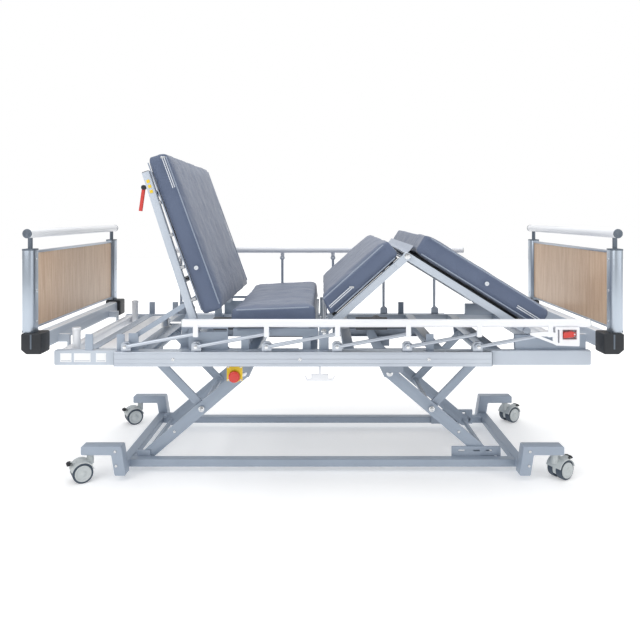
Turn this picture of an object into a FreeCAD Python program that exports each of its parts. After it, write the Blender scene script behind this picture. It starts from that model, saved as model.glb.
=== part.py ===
"""Adjustable hospital bed: one parametric document, one solid or group of solids per sub-part.

Millimetres. +X points to the foot end, +Y to the far side, +Z up. The origin lies on the floor
under the middle of the bed.
"""
import FreeCAD, Part
import Sketcher
import os
import re

doc = FreeCAD.newDocument("hospital_bed")

# ---------------------------------------------------------------- driving dimensions

SIZES = {
    # base
    "base_rail_y": (270, "middle of a base rail from the centre line"),
    "base_rail_wide": (40, "width of a base rail"),
    "base_rail_high": (30, "height of a base rail"),
    "base_clear": (25, "floor to the underside of the base rails"),
    "base_inset": (233, "end of the base rails short of the end of the side tubes"),
    "lug_gap": (0.5, "gap from a turning arm to the plate beside it"),
    "slot_plate_lead": (152, "foot slot plate from its inner end to the pin"),
    "slot_plate_tail": (45, "foot slot plate from the pin to its outer end"),
    "slot_plate_top": (92, "foot slot plate, top edge"),
    "slot_in": (28, "travel of a foot pin towards the centre"),
    "slot_out": (26, "travel of a foot pin away from the centre"),
    # casters
    "stem_reach": (137, "caster stem beyond the end of the base rails"),
    "stem_y": (345, "caster stem from the centre line"),
    "wheel_radius": (38, "caster wheel radius"),
    "wheel_trail": (32, "stem to wheel axle"),
    "stem_over": (25, "underside of a caster bracket above the wheel"),
    "pedal_half": (14, "half width of a brake pedal"),
    "caster_turn": (30, "how far a caster is swivelled at rest"),
    "bracket_wide": (50, "width of a caster bracket"),
    # lift
    "pivot_inset": (44, "head lift arm pivot short of the end of the base rails"),
    "foot_pin_inset": (92, "foot lift arm pin short of the end of the base rails"),
    "lift_pivot_up": (44.6, "lift arm pivot above the floor"),
    "lift_link": (305, "each half of the lift linkage"),
    "lift_lean": (40.4, "lower half of a lift arm above horizontal"),
    "lift_upper_lean": (46, "upper half and strut above horizontal"),
    "arm_wide": (46, "width of a lift arm"),
    "strut_wide": (33, "width of a lift strut"),
    "arm_y": (228, "inner face of a lift arm from the centre line"),
    "arm_thick": (12, "thickness of arms and struts"),
    "pin_r": (8, "radius of the main pins"),
    "axle_r": (10, "radius of the lift axles"),
    "roller_r": (15, "radius of the lift rollers"),
    "running": (0.3, "running clearance between moving faces"),
    "pin_fit": (0.08, "radial clearance of a pin in its hole"),
    # upper frame
    "frame_half_length": (998, "centre to the end of a side tube"),
    "frame_half_width": (450, "centre line to the outer face of a side tube"),
    "frame_above_pin": (4.324, "underside of the side tubes above the lift pins"),
    "frame_high": (55, "height of the side tubes"),
    "frame_tube": (30, "width of a side tube"),
    "cross_high": (30, "height of a cross member"),
    "cross_wide": (40, "width of a cross member"),
    # lying surface
    "deck_rise": (74, "backrest hinge line above the side tubes"),
    "deck_tube": (27, "width of the section tubes"),
    "deck_inset": (30, "middle of a section tube inside the outer face of a side tube"),
    "board_gap": (21.5, "gap between a section's board and its tubes"),
    "pad_inset": (8, "side of the mattress inside the outer face of a side tube"),
    "pad_thick": (80, "mattress thickness"),
    "back_link": (80, "backrest link length"),
    "back_pivot_x": (522.4, "backrest link pivot from the centre"),
    "back_lean": (72, "backrest angle above horizontal at rest"),
    "back_length": (622, "backrest tube length"),
    "knee_rise": (69, "thigh hinge above the side tubes"),
    "thigh_x": (5, "thigh hinge from the centre"),
    "thigh_length": (420, "thigh hinge to knee hinge"),
    "thigh_lean": (42, "thigh angle at rest"),
    "calf_length": (531, "knee hinge to calf roller"),
    "calf_lean": (31.8, "calf angle at rest"),
    "calf_pad": (580, "length of the calf pad"),
    "seat_rise": (79, "top of the seat frame above the side tubes"),
    "seat_start": (335, "head end of the seat frame from the centre"),
    "seat_rest_head": (290, "head rest of the seat frame from the centre"),
    "seat_rest_foot": (60, "foot rest of the seat frame from the centre"),
    # actuators
    "drive_rise": (15, "back and knee spindles above the side tubes"),
    "lever_x": (706, "pivot of the back lift lever from the centre"),
    "lever_drop": (26, "pivot of the back lift lever below the backrest hinge line"),
    "lift_crank": (40, "crank on a lift strut"),
    "spindle_r": (8, "radius of an actuator rod"),
    "pole_inset": (58, "infusion pole sockets short of the end of the side tubes"),
    "pole_side": (35, "infusion pole sockets inside the side tubes"),
    "pole_r": (10, "bore of a pole socket"),
    "pole_wall": (5, "wall of a pole socket"),
    "pole_rise": (75, "top of a pole socket above the side tubes"),
    "stop_x": (327, "stop button from the centre"),
    # boards
    "post_reach": (85, "middle of a board post beyond the side tubes"),
    "post_side": (10, "middle of a board post outside the side tubes"),
    "post_lift": (72, "foot of a board post above the side tubes"),
    "post_high": (302, "height of a board post"),
    "post_wide": (47, "width of a board post along the bed"),
    "post_deep": (60, "width of a board post across the bed"),
    "panel_thick": (18, "thickness of a board panel"),
    "panel_foot": (16, "lower edge of a panel above the foot of the posts"),
    "panel_head": (10, "upper edge of a panel below the top of the posts"),
    "grab_rise": (62, "middle of the grab tube above the posts"),
    "grab_r": (16.5, "radius of the grab tube"),
    "bumper_reach": (103, "outer face of a bumper beyond the side tubes"),
    "bumper_over": (50, "side face of a bumper outside the side tubes"),
    # safety rails
    "rail_first_x": (-728, "first safety rail pivot"),
    "rail_pitch": (260.5, "spacing of the safety rail pivots"),
    "rail_pivot_rise": (18, "safety rail pivots above the side tubes"),
    "rail_side": (22, "middle of the uprights outside the side tubes"),
    "rail_lead": (41, "rail extrusion before the first pivot"),
    "rail_tail": (49.5, "rail extrusion after the last pivot"),
    "rail_arm": (266, "pivot to pivot length of an upright"),
    "rail_fold": (10.3, "angle of a folded upright above horizontal"),
    "rail_bar_r": (15, "radius of the top bar"),
    "rail_bar_over": (40, "top bar above the upper pivots"),
    "rail_bar_length": (1500, "length of the top bar"),
    "rail_bar_lead": (50, "top bar beyond the first upper pivot"),
    "upright_r": (7, "radius of an upright"),
}

sheet = doc.addObject("Spreadsheet::Sheet", "Sizes")
for row, (alias, (size, note)) in enumerate(SIZES.items(), start=1):
    sheet.set(f"A{row}", note)
    sheet.set(f"B{row}", str(size))
    sheet.setAlias(f"B{row}", alias)
doc.recompute()

# Values that follow from the sheet. Each is spelled out in terms of the aliases above.
DERIVED = {
    "base_top": "base_clear + base_rail_high",
    "base_half_length": "frame_half_length - base_inset",
    "lift_pivot_x": "base_half_length - pivot_inset",
    "lift_foot_x": "base_half_length - foot_pin_inset",
    "slot_plate_start": "lift_foot_x - slot_plate_lead",
    "slot_plate_end": "lift_foot_x + slot_plate_tail",
    "stem_x": "base_half_length + stem_reach",
    "wheel_top": "2 * wheel_radius",
    "stem_top": "wheel_top + stem_over",
    "pedal_x": "wheel_trail + wheel_radius + 2",
    "rail_in": "base_rail_y - base_rail_wide / 2",
    "frame_low": "frame_pin_up + frame_above_pin",
    "frame_top": "frame_low + frame_high",
    "deck_up": "frame_top + deck_rise",
    "knee_up": "frame_top + knee_rise",
    "seat_up": "frame_top + seat_rise",
    "drive_up": "frame_top + drive_rise",
    "lever_up": "deck_up - lever_drop",
    "deck_y": "frame_half_width - deck_inset",
    "pad_half_width": "frame_half_width - pad_inset",
    "board_half": "tube_in - board_gap",
    "frame_in": "frame_half_width - frame_tube",
    "cross_low": "frame_top - 31",
    "cross_top": "cross_low + cross_high",
    "arm_out": "arm_y + arm_thick",
    "strut_out": "arm_y - 3",
    "strut_in": "strut_out - arm_thick",
    "mid_run": "lift_link * cos(lift_lean)",
    "mid_rise": "lift_link * sin(lift_lean)",
    "top_run": "lift_link * cos(lift_upper_lean)",
    "top_rise": "lift_link * sin(lift_upper_lean)",
    "frame_pin_x": "lift_pivot_x - mid_run + top_run",
    "foot_pin_x": "lift_foot_x - mid_run + top_run",
    "frame_pin_up": "lift_pivot_up + mid_rise + top_rise",
    "tube_half": "deck_tube / 2",
    "tube_in": "deck_y - tube_half",
    "tube_out": "deck_y + tube_half",
    "back_roll_x": "0 - back_pivot_x + 2 * back_link * cos(back_lean)",
    "knee_x": "thigh_x + thigh_length * cos(thigh_lean)",
    "knee_top": "knee_up + thigh_length * sin(thigh_lean)",
    "rail_y": "frame_half_width + rail_side",
    "rail_pivot_up": "frame_top + rail_pivot_rise",
    "last_lug": "5 * rail_pitch",
    "pole_x": "frame_half_length - pole_inset",
    "pole_y": "frame_in - pole_side",
    "post_x": "frame_half_length + post_reach",
    "post_y": "frame_half_width + post_side",
    "post_low": "frame_top + post_lift",
    "post_top": "post_low + post_high",
    "panel_low": "post_low + panel_foot",
    "panel_top": "post_top - panel_head",
    "grab_up": "post_top + grab_rise",
    "bumper_out": "frame_half_length + bumper_reach",
    "bumper_side": "frame_half_width + bumper_over",
}


def expr(text):
    """Spells a size out as a document expression on the sheet's cells."""
    def swap(match):
        word = match.group(0)
        if word in DERIVED:
            return "(" + expr(DERIVED[word]) + ")"
        if word in SIZES:
            return "Sizes." + word
        return word
    return re.sub(r"[A-Za-z_]\w*", swap, str(text))


def number(text):
    """The present value of a size, for placing a sketch's first lines."""
    return float(sheet.evalExpression(expr(text)))


def bind(item, prop, text):
    item.setExpression(prop, expr(text))


def place(item, x="0", y="0", z="0"):
    for axis, text in zip("xyz", (x, y, z)):
        bind(item, f"Placement.Base.{axis}", text)
    return item


def lean(item, angle, axis=(0, -1, 0)):
    """Turns an item about an axis through its own origin; the default lifts +X towards +Z."""
    item.Placement = FreeCAD.Placement(FreeCAD.Vector(), FreeCAD.Rotation(FreeCAD.Vector(*axis), 45))
    bind(item, "Placement.Rotation.Angle", angle)
    return item


def box(name, x, y, z):
    """A block between two values on each axis."""
    item = doc.addObject("Part::Box", name)
    for prop, (low, high) in zip(("Length", "Width", "Height"), (x, y, z)):
        bind(item, prop, f"({high}) - ({low})")
    return place(item, x[0], y[0], z[0])


def rod(name, axis, centre, radius, start, end):
    """A round bar along an axis, from start to end on that axis."""
    item = doc.addObject("Part::Cylinder", name)
    bind(item, "Radius", radius)
    bind(item, "Height", f"({end}) - ({start})")
    turns = {"x": ((0, 1, 0), 90), "y": ((-1, 0, 0), 90), "z": ((0, 0, 1), 0)}
    vector, angle = turns[axis]
    item.Placement = FreeCAD.Placement(FreeCAD.Vector(), FreeCAD.Rotation(FreeCAD.Vector(*vector), angle))
    spot = {"x": (start, *centre), "y": (centre[0], start, centre[1]), "z": (*centre, start)}
    return place(item, *spot[axis])


def union(name, *pieces):
    item = doc.addObject("Part::MultiFuse", name)
    item.Shapes = list(pieces)
    item.Refine = True
    return item


def minus(name, base, *tools):
    item = doc.addObject("Part::Cut", name)
    item.Base = base
    item.Tool = tools[0] if len(tools) == 1 else union(name + "_tools", *tools)
    return item


def group(name, *pieces):
    item = doc.addObject("Part::Compound", name)
    item.Links = list(pieces)
    return item


def mirror(name, piece, normal=(0, 1, 0)):
    item = doc.addObject("Part::Mirroring", name)
    item.Source = piece
    item.Normal = normal
    return item


def pair(name, piece, normal=(0, 1, 0)):
    """A piece and its mirror image across the middle of the bed."""
    return group(name, piece, mirror(name + "_other", piece, normal))


def plate(name, points, low, high, soften=None):
    """A plate of any outline in the X-Z plane, from low to high on Y, edges rounded if asked."""
    body = doc.addObject("PartDesign::Body", name)
    sketch = body.newObject("Sketcher::SketchObject", name + "_outline")
    face = [item for item in body.Origin.OriginFeatures if item.Role == "XZ_Plane"][0]
    sketch.AttachmentSupport = [(face, "")]
    sketch.MapMode = "FlatFace"
    spots = [FreeCAD.Vector(number(x), number(z), 0) for x, z in points]
    for index, spot in enumerate(spots):
        sketch.addGeometry(Part.LineSegment(spot, spots[(index + 1) % len(spots)]), False)
    for index, (x, z) in enumerate(points):
        after = (index + 1) % len(points)
        sketch.addConstraint(Sketcher.Constraint("Coincident", index, 2, after, 1))
        for kind, text, spot in (("DistanceX", x, spots[index].x), ("DistanceY", z, spots[index].y)):
            key = sketch.addConstraint(Sketcher.Constraint(kind, -1, 1, index, 1, spot))
            sketch.renameConstraint(key, f"{kind}{index}")
            sketch.setExpression(f"Constraints.{kind}{index}", expr(text))
    pad = body.newObject("PartDesign::Pad", name + "_pad")
    pad.Profile = sketch
    pad.SideType = "Symmetric"
    bind(pad, "Length", f"({high}) - ({low})")
    place(body, "0", f"(({high}) + ({low})) / 2", "0")
    if soften:
        doc.recompute()
        soft = body.newObject("PartDesign::Fillet", name + "_edges")
        across = [f"Edge{n}" for n, edge in enumerate(pad.Shape.Edges, start=1) if along_y(edge)]
        soft.Base = (pad, across)
        bind(soft, "Radius", soften)
        body.Tip = soft
    return body


def along_y(edge):
    first, last = edge.Vertexes[0].Point, edge.Vertexes[-1].Point
    return abs(first.x - last.x) < 1e-6 and abs(first.z - last.z) < 1e-6


def tube_bar(name, axis, start, end, side, up, wide, high, soften):
    """A straight tube with rounded edges, along x or y, middle of its section at side and up."""
    body = doc.addObject("PartDesign::Body", name)
    block = body.newObject("PartDesign::AdditiveBox", name + "_block")
    run = f"({end}) - ({start})"
    length, width = (run, wide) if axis == "x" else (wide, run)
    bind(block, "Length", length)
    bind(block, "Width", width)
    bind(block, "Height", high)
    doc.recompute()
    soft = body.newObject("PartDesign::Fillet", name + "_edges")
    test = {"x": lambda edge: abs(edge.Vertexes[0].X - edge.Vertexes[-1].X) > 1e-6,
            "y": lambda edge: abs(edge.Vertexes[0].Y - edge.Vertexes[-1].Y) > 1e-6}[axis]
    soft.Base = (block, [f"Edge{n}" for n, edge in enumerate(block.Shape.Edges, start=1) if test(edge)])
    bind(soft, "Radius", soften)
    body.Tip = soft
    if axis == "x":
        return place(body, start, f"({side}) - ({wide}) / 2", f"({up}) - ({high}) / 2")
    return place(body, f"({side}) - ({wide}) / 2", start, f"({up}) - ({high}) / 2")


def upright_tube(name, x, y, low, high, wide, deep, soften):
    """A standing tube with rounded corners."""
    body = doc.addObject("PartDesign::Body", name)
    block = body.newObject("PartDesign::AdditiveBox", name + "_block")
    bind(block, "Length", wide)
    bind(block, "Width", deep)
    bind(block, "Height", f"({high}) - ({low})")
    doc.recompute()
    soft = body.newObject("PartDesign::Fillet", name + "_edges")
    standing = [f"Edge{n}" for n, edge in enumerate(block.Shape.Edges, start=1)
                if abs(edge.Vertexes[0].Z - edge.Vertexes[-1].Z) > 1e-6]
    soft.Base = (block, standing)
    bind(soft, "Radius", soften)
    body.Tip = soft
    return place(body, f"({x}) - ({wide}) / 2", f"({y}) - ({deep}) / 2", low)


def link_bar(name, reach, wide, low, high, holes=(), start_round=True, end_round=True):
    """A flat bar along +X from its pivot, ends rounded about their pins, with pin holes."""
    half = f"({wide}) / 2"
    pieces = [box(name + "_web", ("0", reach), (low, high), (f"0 - {half}", half))]
    if start_round:
        pieces.append(rod(name + "_foot", "y", ("0", "0"), half, low, high))
    if end_round:
        pieces.append(rod(name + "_tip", "y", (reach, "0"), half, low, high))
    whole = union(name + "_bar", *pieces)
    if not holes:
        return whole
    cuts = [rod(f"{name}_hole{n}", "y", (spot, "0"), radius, f"({low}) - 1", f"({high}) + 1")
            for n, (spot, radius) in enumerate(holes)]
    return minus(name, whole, *cuts)


NODES = []


def node(label, piece):
    """Names a finished sub-part; each one becomes a file."""
    piece.Label = label
    NODES.append(piece)
    return piece


# ---------------------------------------------------------------- base

def base_frame():
    rail = tube_bar("base_rail", "x", "0 - base_half_length", "base_half_length", "0 - base_rail_y",
                    "base_clear + base_rail_high / 2", "base_rail_wide", "base_rail_high", "4")
    cross = tube_bar("base_cross", "y", "5 - stem_y + bracket_wide / 2", "stem_y - bracket_wide / 2 - 5",
                     "base_half_length + 20", "base_clear + base_rail_high / 2", "40",
                     "base_rail_high", "4")
    rails = pair("base_rails", rail)
    crosses = pair("base_cross_tubes", cross, (1, 0, 0))
    node("base_frame", group("base_frame", rails, crosses, *base_plates()))


def base_plates():
    """Lugs for the head pivots and slotted plates for the sliding foot pins."""
    face = ("0 - rail_in", "0 - arm_out - lug_gap")
    through = ("0 - rail_in - 1", "0 - arm_out + 1")
    lug = box("pivot_lug", ("0 - lift_pivot_x - 26", "0 - lift_pivot_x + 26"), face,
              ("base_clear", "base_top + 22"))
    lug = minus("pivot_lug_bored", lug,
                rod("pivot_lug_hole", "y", ("0 - lift_pivot_x", "lift_pivot_up"), "axle_r + pin_fit",
                    *through))
    whole = box("slot_plate", ("slot_plate_start", "slot_plate_end"), face,
                ("base_clear", "slot_plate_top"))
    slots = [box("pin_slot", ("lift_foot_x - slot_in", "lift_foot_x + slot_out"), through,
                 ("lift_pivot_up - axle_r - running", "lift_pivot_up + axle_r + running"))]
    for n, x in enumerate(("lift_foot_x - slot_in", "lift_foot_x + slot_out")):
        slots.append(rod(f"pin_slot_end{n}", "y", (x, "lift_pivot_up"), "axle_r + running", *through))
    for n, ahead in enumerate((40, 100, 150)):
        slots.append(box(f"small_slot{n}", (f"slot_plate_start + {ahead - 13}",
                                            f"slot_plate_start + {ahead + 13}"),
                         through, ("slot_plate_top - 20", "slot_plate_top - 13")))
    plates = minus("slot_plate_cut", whole, *slots)
    return lug, mirror("pivot_lug_far", lug), plates, mirror("slot_plate_far", plates)


def caster_brackets():
    outline = [("stem_x + 28", "stem_top"), ("stem_x + 28", "stem_top + 33"),
               ("base_half_length + 10", "stem_top + 33"), ("base_half_length - 8", "base_clear - 3"),
               ("base_half_length + 35", "base_clear - 3"), ("base_half_length + 48", "stem_top")]
    near = plate("caster_bracket", outline, "0 - stem_y - bracket_wide / 2",
                 "0 - stem_y + bracket_wide / 2", "5")
    bore = rod("stem_bore", "z", ("stem_x", "0 - stem_y"), "6 + pin_fit", "stem_top - 1", "stem_top + 20")
    near = minus("caster_bracket_bored", near, bore)
    foot = pair("caster_brackets_foot", near)
    node("caster_brackets", pair("caster_brackets", foot, (1, 0, 0)))


def caster_parts():
    """One caster about its stem, the wheel trailing towards +X."""
    middle = ("wheel_trail", "wheel_radius")
    hinge = ("pedal_x", "wheel_top - 4")
    stem = rod("caster_stem", "z", ("0", "0"), "6", "wheel_top - 6", "stem_top + 19")
    collar = rod("caster_collar", "z", ("0", "0"), "13", "wheel_top - 14", "stem_top - running")
    web = minus("caster_web_cut", rod("caster_web", "y", middle, "wheel_radius - 2", "0 - 8", "8"),
                rod("caster_web_bore", "y", middle, "7 + pin_fit", "0 - 9", "9"),
                box("caster_web_low", ("0 - 2 * wheel_trail", "3 * wheel_trail"), ("0 - 9", "9"),
                    ("0 - 10", "wheel_radius - 16")))
    hood = minus("caster_hood_cut", rod("caster_hood", "y", middle, "wheel_radius + 5", "0 - 34", "34"),
                 rod("caster_hood_space", "y", middle, "wheel_radius + 1.2", "0 - 35", "0 - 8"),
                 rod("caster_hood_space_far", "y", middle, "wheel_radius + 1.2", "8", "35"),
                 rod("caster_hood_bore", "y", middle, "7 + pin_fit", "0 - 35", "35"),
                 box("caster_hood_low", ("0 - 2 * wheel_trail", "3 * wheel_trail + 14"), ("0 - 40", "40"),
                     ("0 - 10", "wheel_radius + 10")))
    neck = box("caster_neck", ("0 - 9", "wheel_trail"), ("0 - 12", "12"),
               ("wheel_top - 10", "wheel_top + 3"))
    lug = box("pedal_lug", ("pedal_x - 20", "pedal_x - 4"), ("0 - 8", "8"),
              ("wheel_top - 10", "wheel_top + 2"))
    pin = rod("pedal_pin", "y", hinge, "3", "2 - pedal_half", "pedal_half - 2")
    ear = rod("pedal_ear", "y", hinge, "6", "0 - 8", "8")
    fork = minus("caster_fork_cut", union("caster_fork_whole", stem, collar, hood, web, neck, lug, ear,
                                          pin),
                 rod("fork_space", "y", middle, "wheel_radius + 1.2", "8 + running", "35"),
                 rod("fork_space_near", "y", middle, "wheel_radius + 1.2", "0 - 35", "0 - 8 - running"))
    dish = "wheel_radius - 12"
    rings = (("tread", "wheel_radius", "9", "31"), ("tread_near", "wheel_radius", "0 - 31", "0 - 9"),
             ("dish", dish, "31", "33.5"), ("dish_near", dish, "0 - 33.5", "0 - 31"),
             ("wheel_axle", "7", "0 - 31", "31"))
    rings = [rod(name, "y", middle, radius, start, end) for name, radius, start, end in rings]
    wheel = union("caster_wheel_whole", *rings)
    tread = plate("pedal", [("pedal_x - 4", "wheel_top - 8"), ("pedal_x - 4", "wheel_top + 1"),
                            ("pedal_x + 7", "wheel_top + 2"), ("pedal_x + 15", "wheel_top - 2"),
                            ("pedal_x + 16", "wheel_top - 7"), ("pedal_x + 6", "wheel_top - 7")],
                  "0 - pedal_half", "pedal_half", "1.5")
    pedal = minus("pedal_cut", tread,
                  rod("pedal_bore", "y", hinge, "3 + pin_fit", "0 - pedal_half - 1", "pedal_half + 1"),
                  rod("pedal_room", "y", hinge, "7", "0 - 8.4", "8.4"),
                  box("pedal_room_in", ("pedal_x - 20", "pedal_x"), ("0 - 8.4", "8.4"),
                      ("wheel_top - 16", "wheel_top + 8")))
    return fork, wheel, pedal


def casters():
    fork, wheel, pedal = caster_parts()
    corners = {"head_near": (-1, -1, "180 + caster_turn"), "head_far": (-1, 1, "180 + caster_turn"),
               "foot_near": (1, -1, "caster_turn"), "foot_far": (1, 1, "caster_turn")}
    for corner, (along, side, angle) in corners.items():
        for kind, piece in (("fork", fork), ("wheel", wheel), ("brake_pedal", pedal)):
            item = group(f"caster_{kind}_{corner}", piece)
            lean(item, angle, (0, 0, 1))
            place(item, f"({along}) * stem_x", f"({side}) * stem_y", "0")
            node(f"caster_{kind}_{corner}", item)


# ---------------------------------------------------------------- lift

def lift_arm(end):
    """Bent lever from the base pivot through the mid pin to the frame roller, both sides."""
    low, high = "0 - arm_out", "0 - arm_y"
    straight = link_bar(f"{end}_arm", "1.73 * lift_link", "arm_wide", low, high)
    lean(straight, "lift_lean")
    place(straight, "0 - lift_pivot_x", "0", "lift_pivot_up")
    roll_x = "0 - lift_pivot_x + mid_run + top_run"
    tip_x = "0 - lift_pivot_x + 1.73 * lift_link * cos(lift_lean)"
    tip_up = "lift_pivot_up + 1.73 * lift_link * sin(lift_lean)"
    head = plate(f"{end}_arm_head", [(f"{tip_x} - 27", f"{tip_up} - 2"),
                                     (f"{tip_x} + 20", f"{tip_up} - 20"),
                                     (f"{roll_x} + 19", "frame_pin_up - 6"),
                                     (f"{roll_x} + 14", "frame_pin_up + 15"),
                                     (f"{roll_x} - 14", "frame_pin_up + 15")], low, high, "6")
    boss = rod(f"{end}_boss", "y", (tip_x, tip_up), "17", "0 - arm_out - 5", "0 - arm_y")
    washer = rod(f"{end}_mid_head", "y", ("0 - lift_pivot_x + mid_run", "lift_pivot_up + mid_rise"), "13",
                 "0 - arm_out - 7", "0 - arm_out")
    pin = rod(f"{end}_roller_pin", "y", (roll_x, "frame_pin_up"), "roller_r", "0 - arm_out - 16",
              "0 - arm_out - 1")
    neck = rod(f"{end}_roller_neck", "y", (roll_x, "frame_pin_up"), "pin_r", "0 - arm_out - 2",
               "0 - arm_y - 1")
    side = union(f"{end}_arm_side", straight, head, boss, washer, pin, neck)
    foot_axle = rod(f"{end}_foot_axle", "y", ("0 - lift_pivot_x", "lift_pivot_up"), "axle_r",
                    "running - rail_in", "rail_in - running")
    mid_axle = rod(f"{end}_mid_axle", "y", ("0 - lift_pivot_x + mid_run", "lift_pivot_up + mid_rise"),
                   "axle_r", "0 - arm_y - 1", "arm_y + 1")
    return union(f"{end}_arm_whole", side, mirror(f"{end}_arm_far", side), foot_axle, mid_axle)


def lift_strut(end):
    """Strut from the mid pin up to the fixed pin of the frame, with the crank its actuator turns."""
    low, high = "0 - strut_out", "0 - strut_in"
    bar = link_bar(f"{end}_strut", "lift_link", "strut_wide", low, high, [("0", "axle_r + pin_fit")])
    lean(bar, "180 - lift_upper_lean")
    place(bar, "0 - lift_pivot_x + mid_run", "0", "lift_pivot_up + mid_rise")
    top = ("0 - frame_pin_x", "frame_pin_up")
    stub = rod(f"{end}_top_pin", "y", top, "pin_r", "0 - arm_y - 34", "0 - strut_in - 1")
    torsion = rod(f"{end}_torsion_tube", "y", top, "12", "0 - strut_out + 1", "strut_out - 1")
    crank = box(f"{end}_crank", ("0 - frame_pin_x - 9", "0 - frame_pin_x + 9"), ("0 - 88", "0 - 80"),
                ("frame_pin_up - lift_crank - 9", "frame_pin_up"))
    crank_other = box(f"{end}_crank_other", ("0 - frame_pin_x - 9", "0 - frame_pin_x + 9"),
                      ("0 - 60", "0 - 52"), ("frame_pin_up - lift_crank - 9", "frame_pin_up"))
    crank_pin = rod(f"{end}_crank_pin", "y", ("0 - frame_pin_x", "frame_pin_up - lift_crank"), "6",
                    "0 - 84", "0 - 56")
    side = union(f"{end}_strut_side", bar, stub)
    return union(f"{end}_strut_whole", side, mirror(f"{end}_strut_far", side), torsion, crank,
                 crank_other, crank_pin)


def lift():
    node("lift_arm_head", lift_arm("head"))
    node("lift_strut_head", lift_strut("head"))
    for label, piece in (("lift_arm_foot", lift_arm("foot")), ("lift_strut_foot", lift_strut("foot"))):
        flipped = mirror(label + "_flipped", piece, (1, 0, 0))
        item = group(label, flipped)
        place(item, "lift_foot_x - lift_pivot_x", "0", "0")
        node(label, item)


# ---------------------------------------------------------------- upper frame

CROSS_MEMBERS = ("0 - frame_half_length + 123", "0 - frame_pin_x", "0 - back_pivot_x", "0 - 265", "0 - 40",
                 "100", "foot_pin_x - 215", "foot_pin_x", "frame_half_length - 118")


def frame_tubes():
    side = tube_bar("side_tube", "x", "0 - frame_half_length", "frame_half_length",
                    "0 - frame_half_width + frame_tube / 2", "frame_low + frame_high / 2",
                    "frame_tube", "frame_high", "4")
    sides = pair("frame_side_tubes", side)
    end = tube_bar("end_tube", "y", "0 - frame_in", "frame_in", "frame_half_length - 20",
                   "frame_low + 32", "40", "40", "12")
    node("frame_tubes", group("frame_tubes", sides, pair("frame_end_tubes", end, (1, 0, 0))))
    members = [box(f"cross_member_{n}", (f"{x} - cross_wide / 2", f"{x} + cross_wide / 2"),
                   ("0 - frame_in", "frame_in"), ("cross_low", "cross_top"))
               for n, x in enumerate(CROSS_MEMBERS)]
    panel = box("head_panel", (f"{CROSS_MEMBERS[0]} + cross_wide / 2 + running",
                               "0 - frame_pin_x - cross_wide / 2 - running"),
                ("0 - frame_in + 30", "frame_in - 30"), ("cross_top - 14", "cross_top - 2"))
    node("frame_cross_members", group("frame_cross_members", *members, panel, lift_guides()))


def lift_guides():
    """Channels for the lift rollers, and plates that hold the fixed pins of the struts."""
    web_in = "arm_out + 18"
    web_out = "arm_out + 22"
    pieces = []
    for end, start, stop in (("head", "0 - frame_pin_x + 165", "0 - frame_pin_x + 605"),
                             ("foot", "foot_pin_x - 605", "foot_pin_x - 165")):
        web = box(f"{end}_guide_web", (start, stop), (f"0 - ({web_out})", f"0 - ({web_in})"),
                  ("frame_pin_up - roller_r - 4", "cross_low"))
        low = box(f"{end}_guide_low", (start, stop), (f"0 - ({web_in})", "0 - arm_out - 3"),
                  ("frame_pin_up - roller_r - 4", "frame_pin_up - roller_r - 2 * running"))
        high = box(f"{end}_guide_high", (start, stop), (f"0 - ({web_in})", "0 - arm_out - 3"),
                   ("frame_pin_up + roller_r + 2 * running", "frame_pin_up + roller_r + 4"))
        pieces.append(union(f"{end}_guide", web, low, high))
    for end, x, way in (("head", "0 - frame_pin_x", 1), ("foot", "foot_pin_x", -1)):
        hanger = plate(f"{end}_hanger", [(f"{x} - 24", "cross_low"), (f"{x} - 18", "frame_pin_up - 22"),
                                         (f"{x} + 18", "frame_pin_up - 22"), (f"{x} + 24", "cross_low")],
                       "0 - arm_y - 34", "0 - arm_y - 26")
        pieces.append(minus(f"{end}_hanger_bored", hanger,
                            rod(f"{end}_hanger_hole", "y", (x, "frame_pin_up"), "pin_r + pin_fit",
                                "0 - arm_y - 35", "0 - arm_y - 25")))
        outer = f"{x} + ({way}) * 435"
        inner = f"{x} + ({way}) * 330"
        slant = f"{x} + ({way}) * 412"
        cheek = plate(f"{end}_cheek", [(inner, "cross_low"), (inner, "frame_pin_up - 68"),
                                       (slant, "frame_pin_up - 68"), (outer, "cross_low")],
                      f"0 - ({web_out}) - 6", f"0 - ({web_out})")
        pieces.append(cheek)
    return pair("lift_guides", group("lift_guides_near", *pieces))


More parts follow.
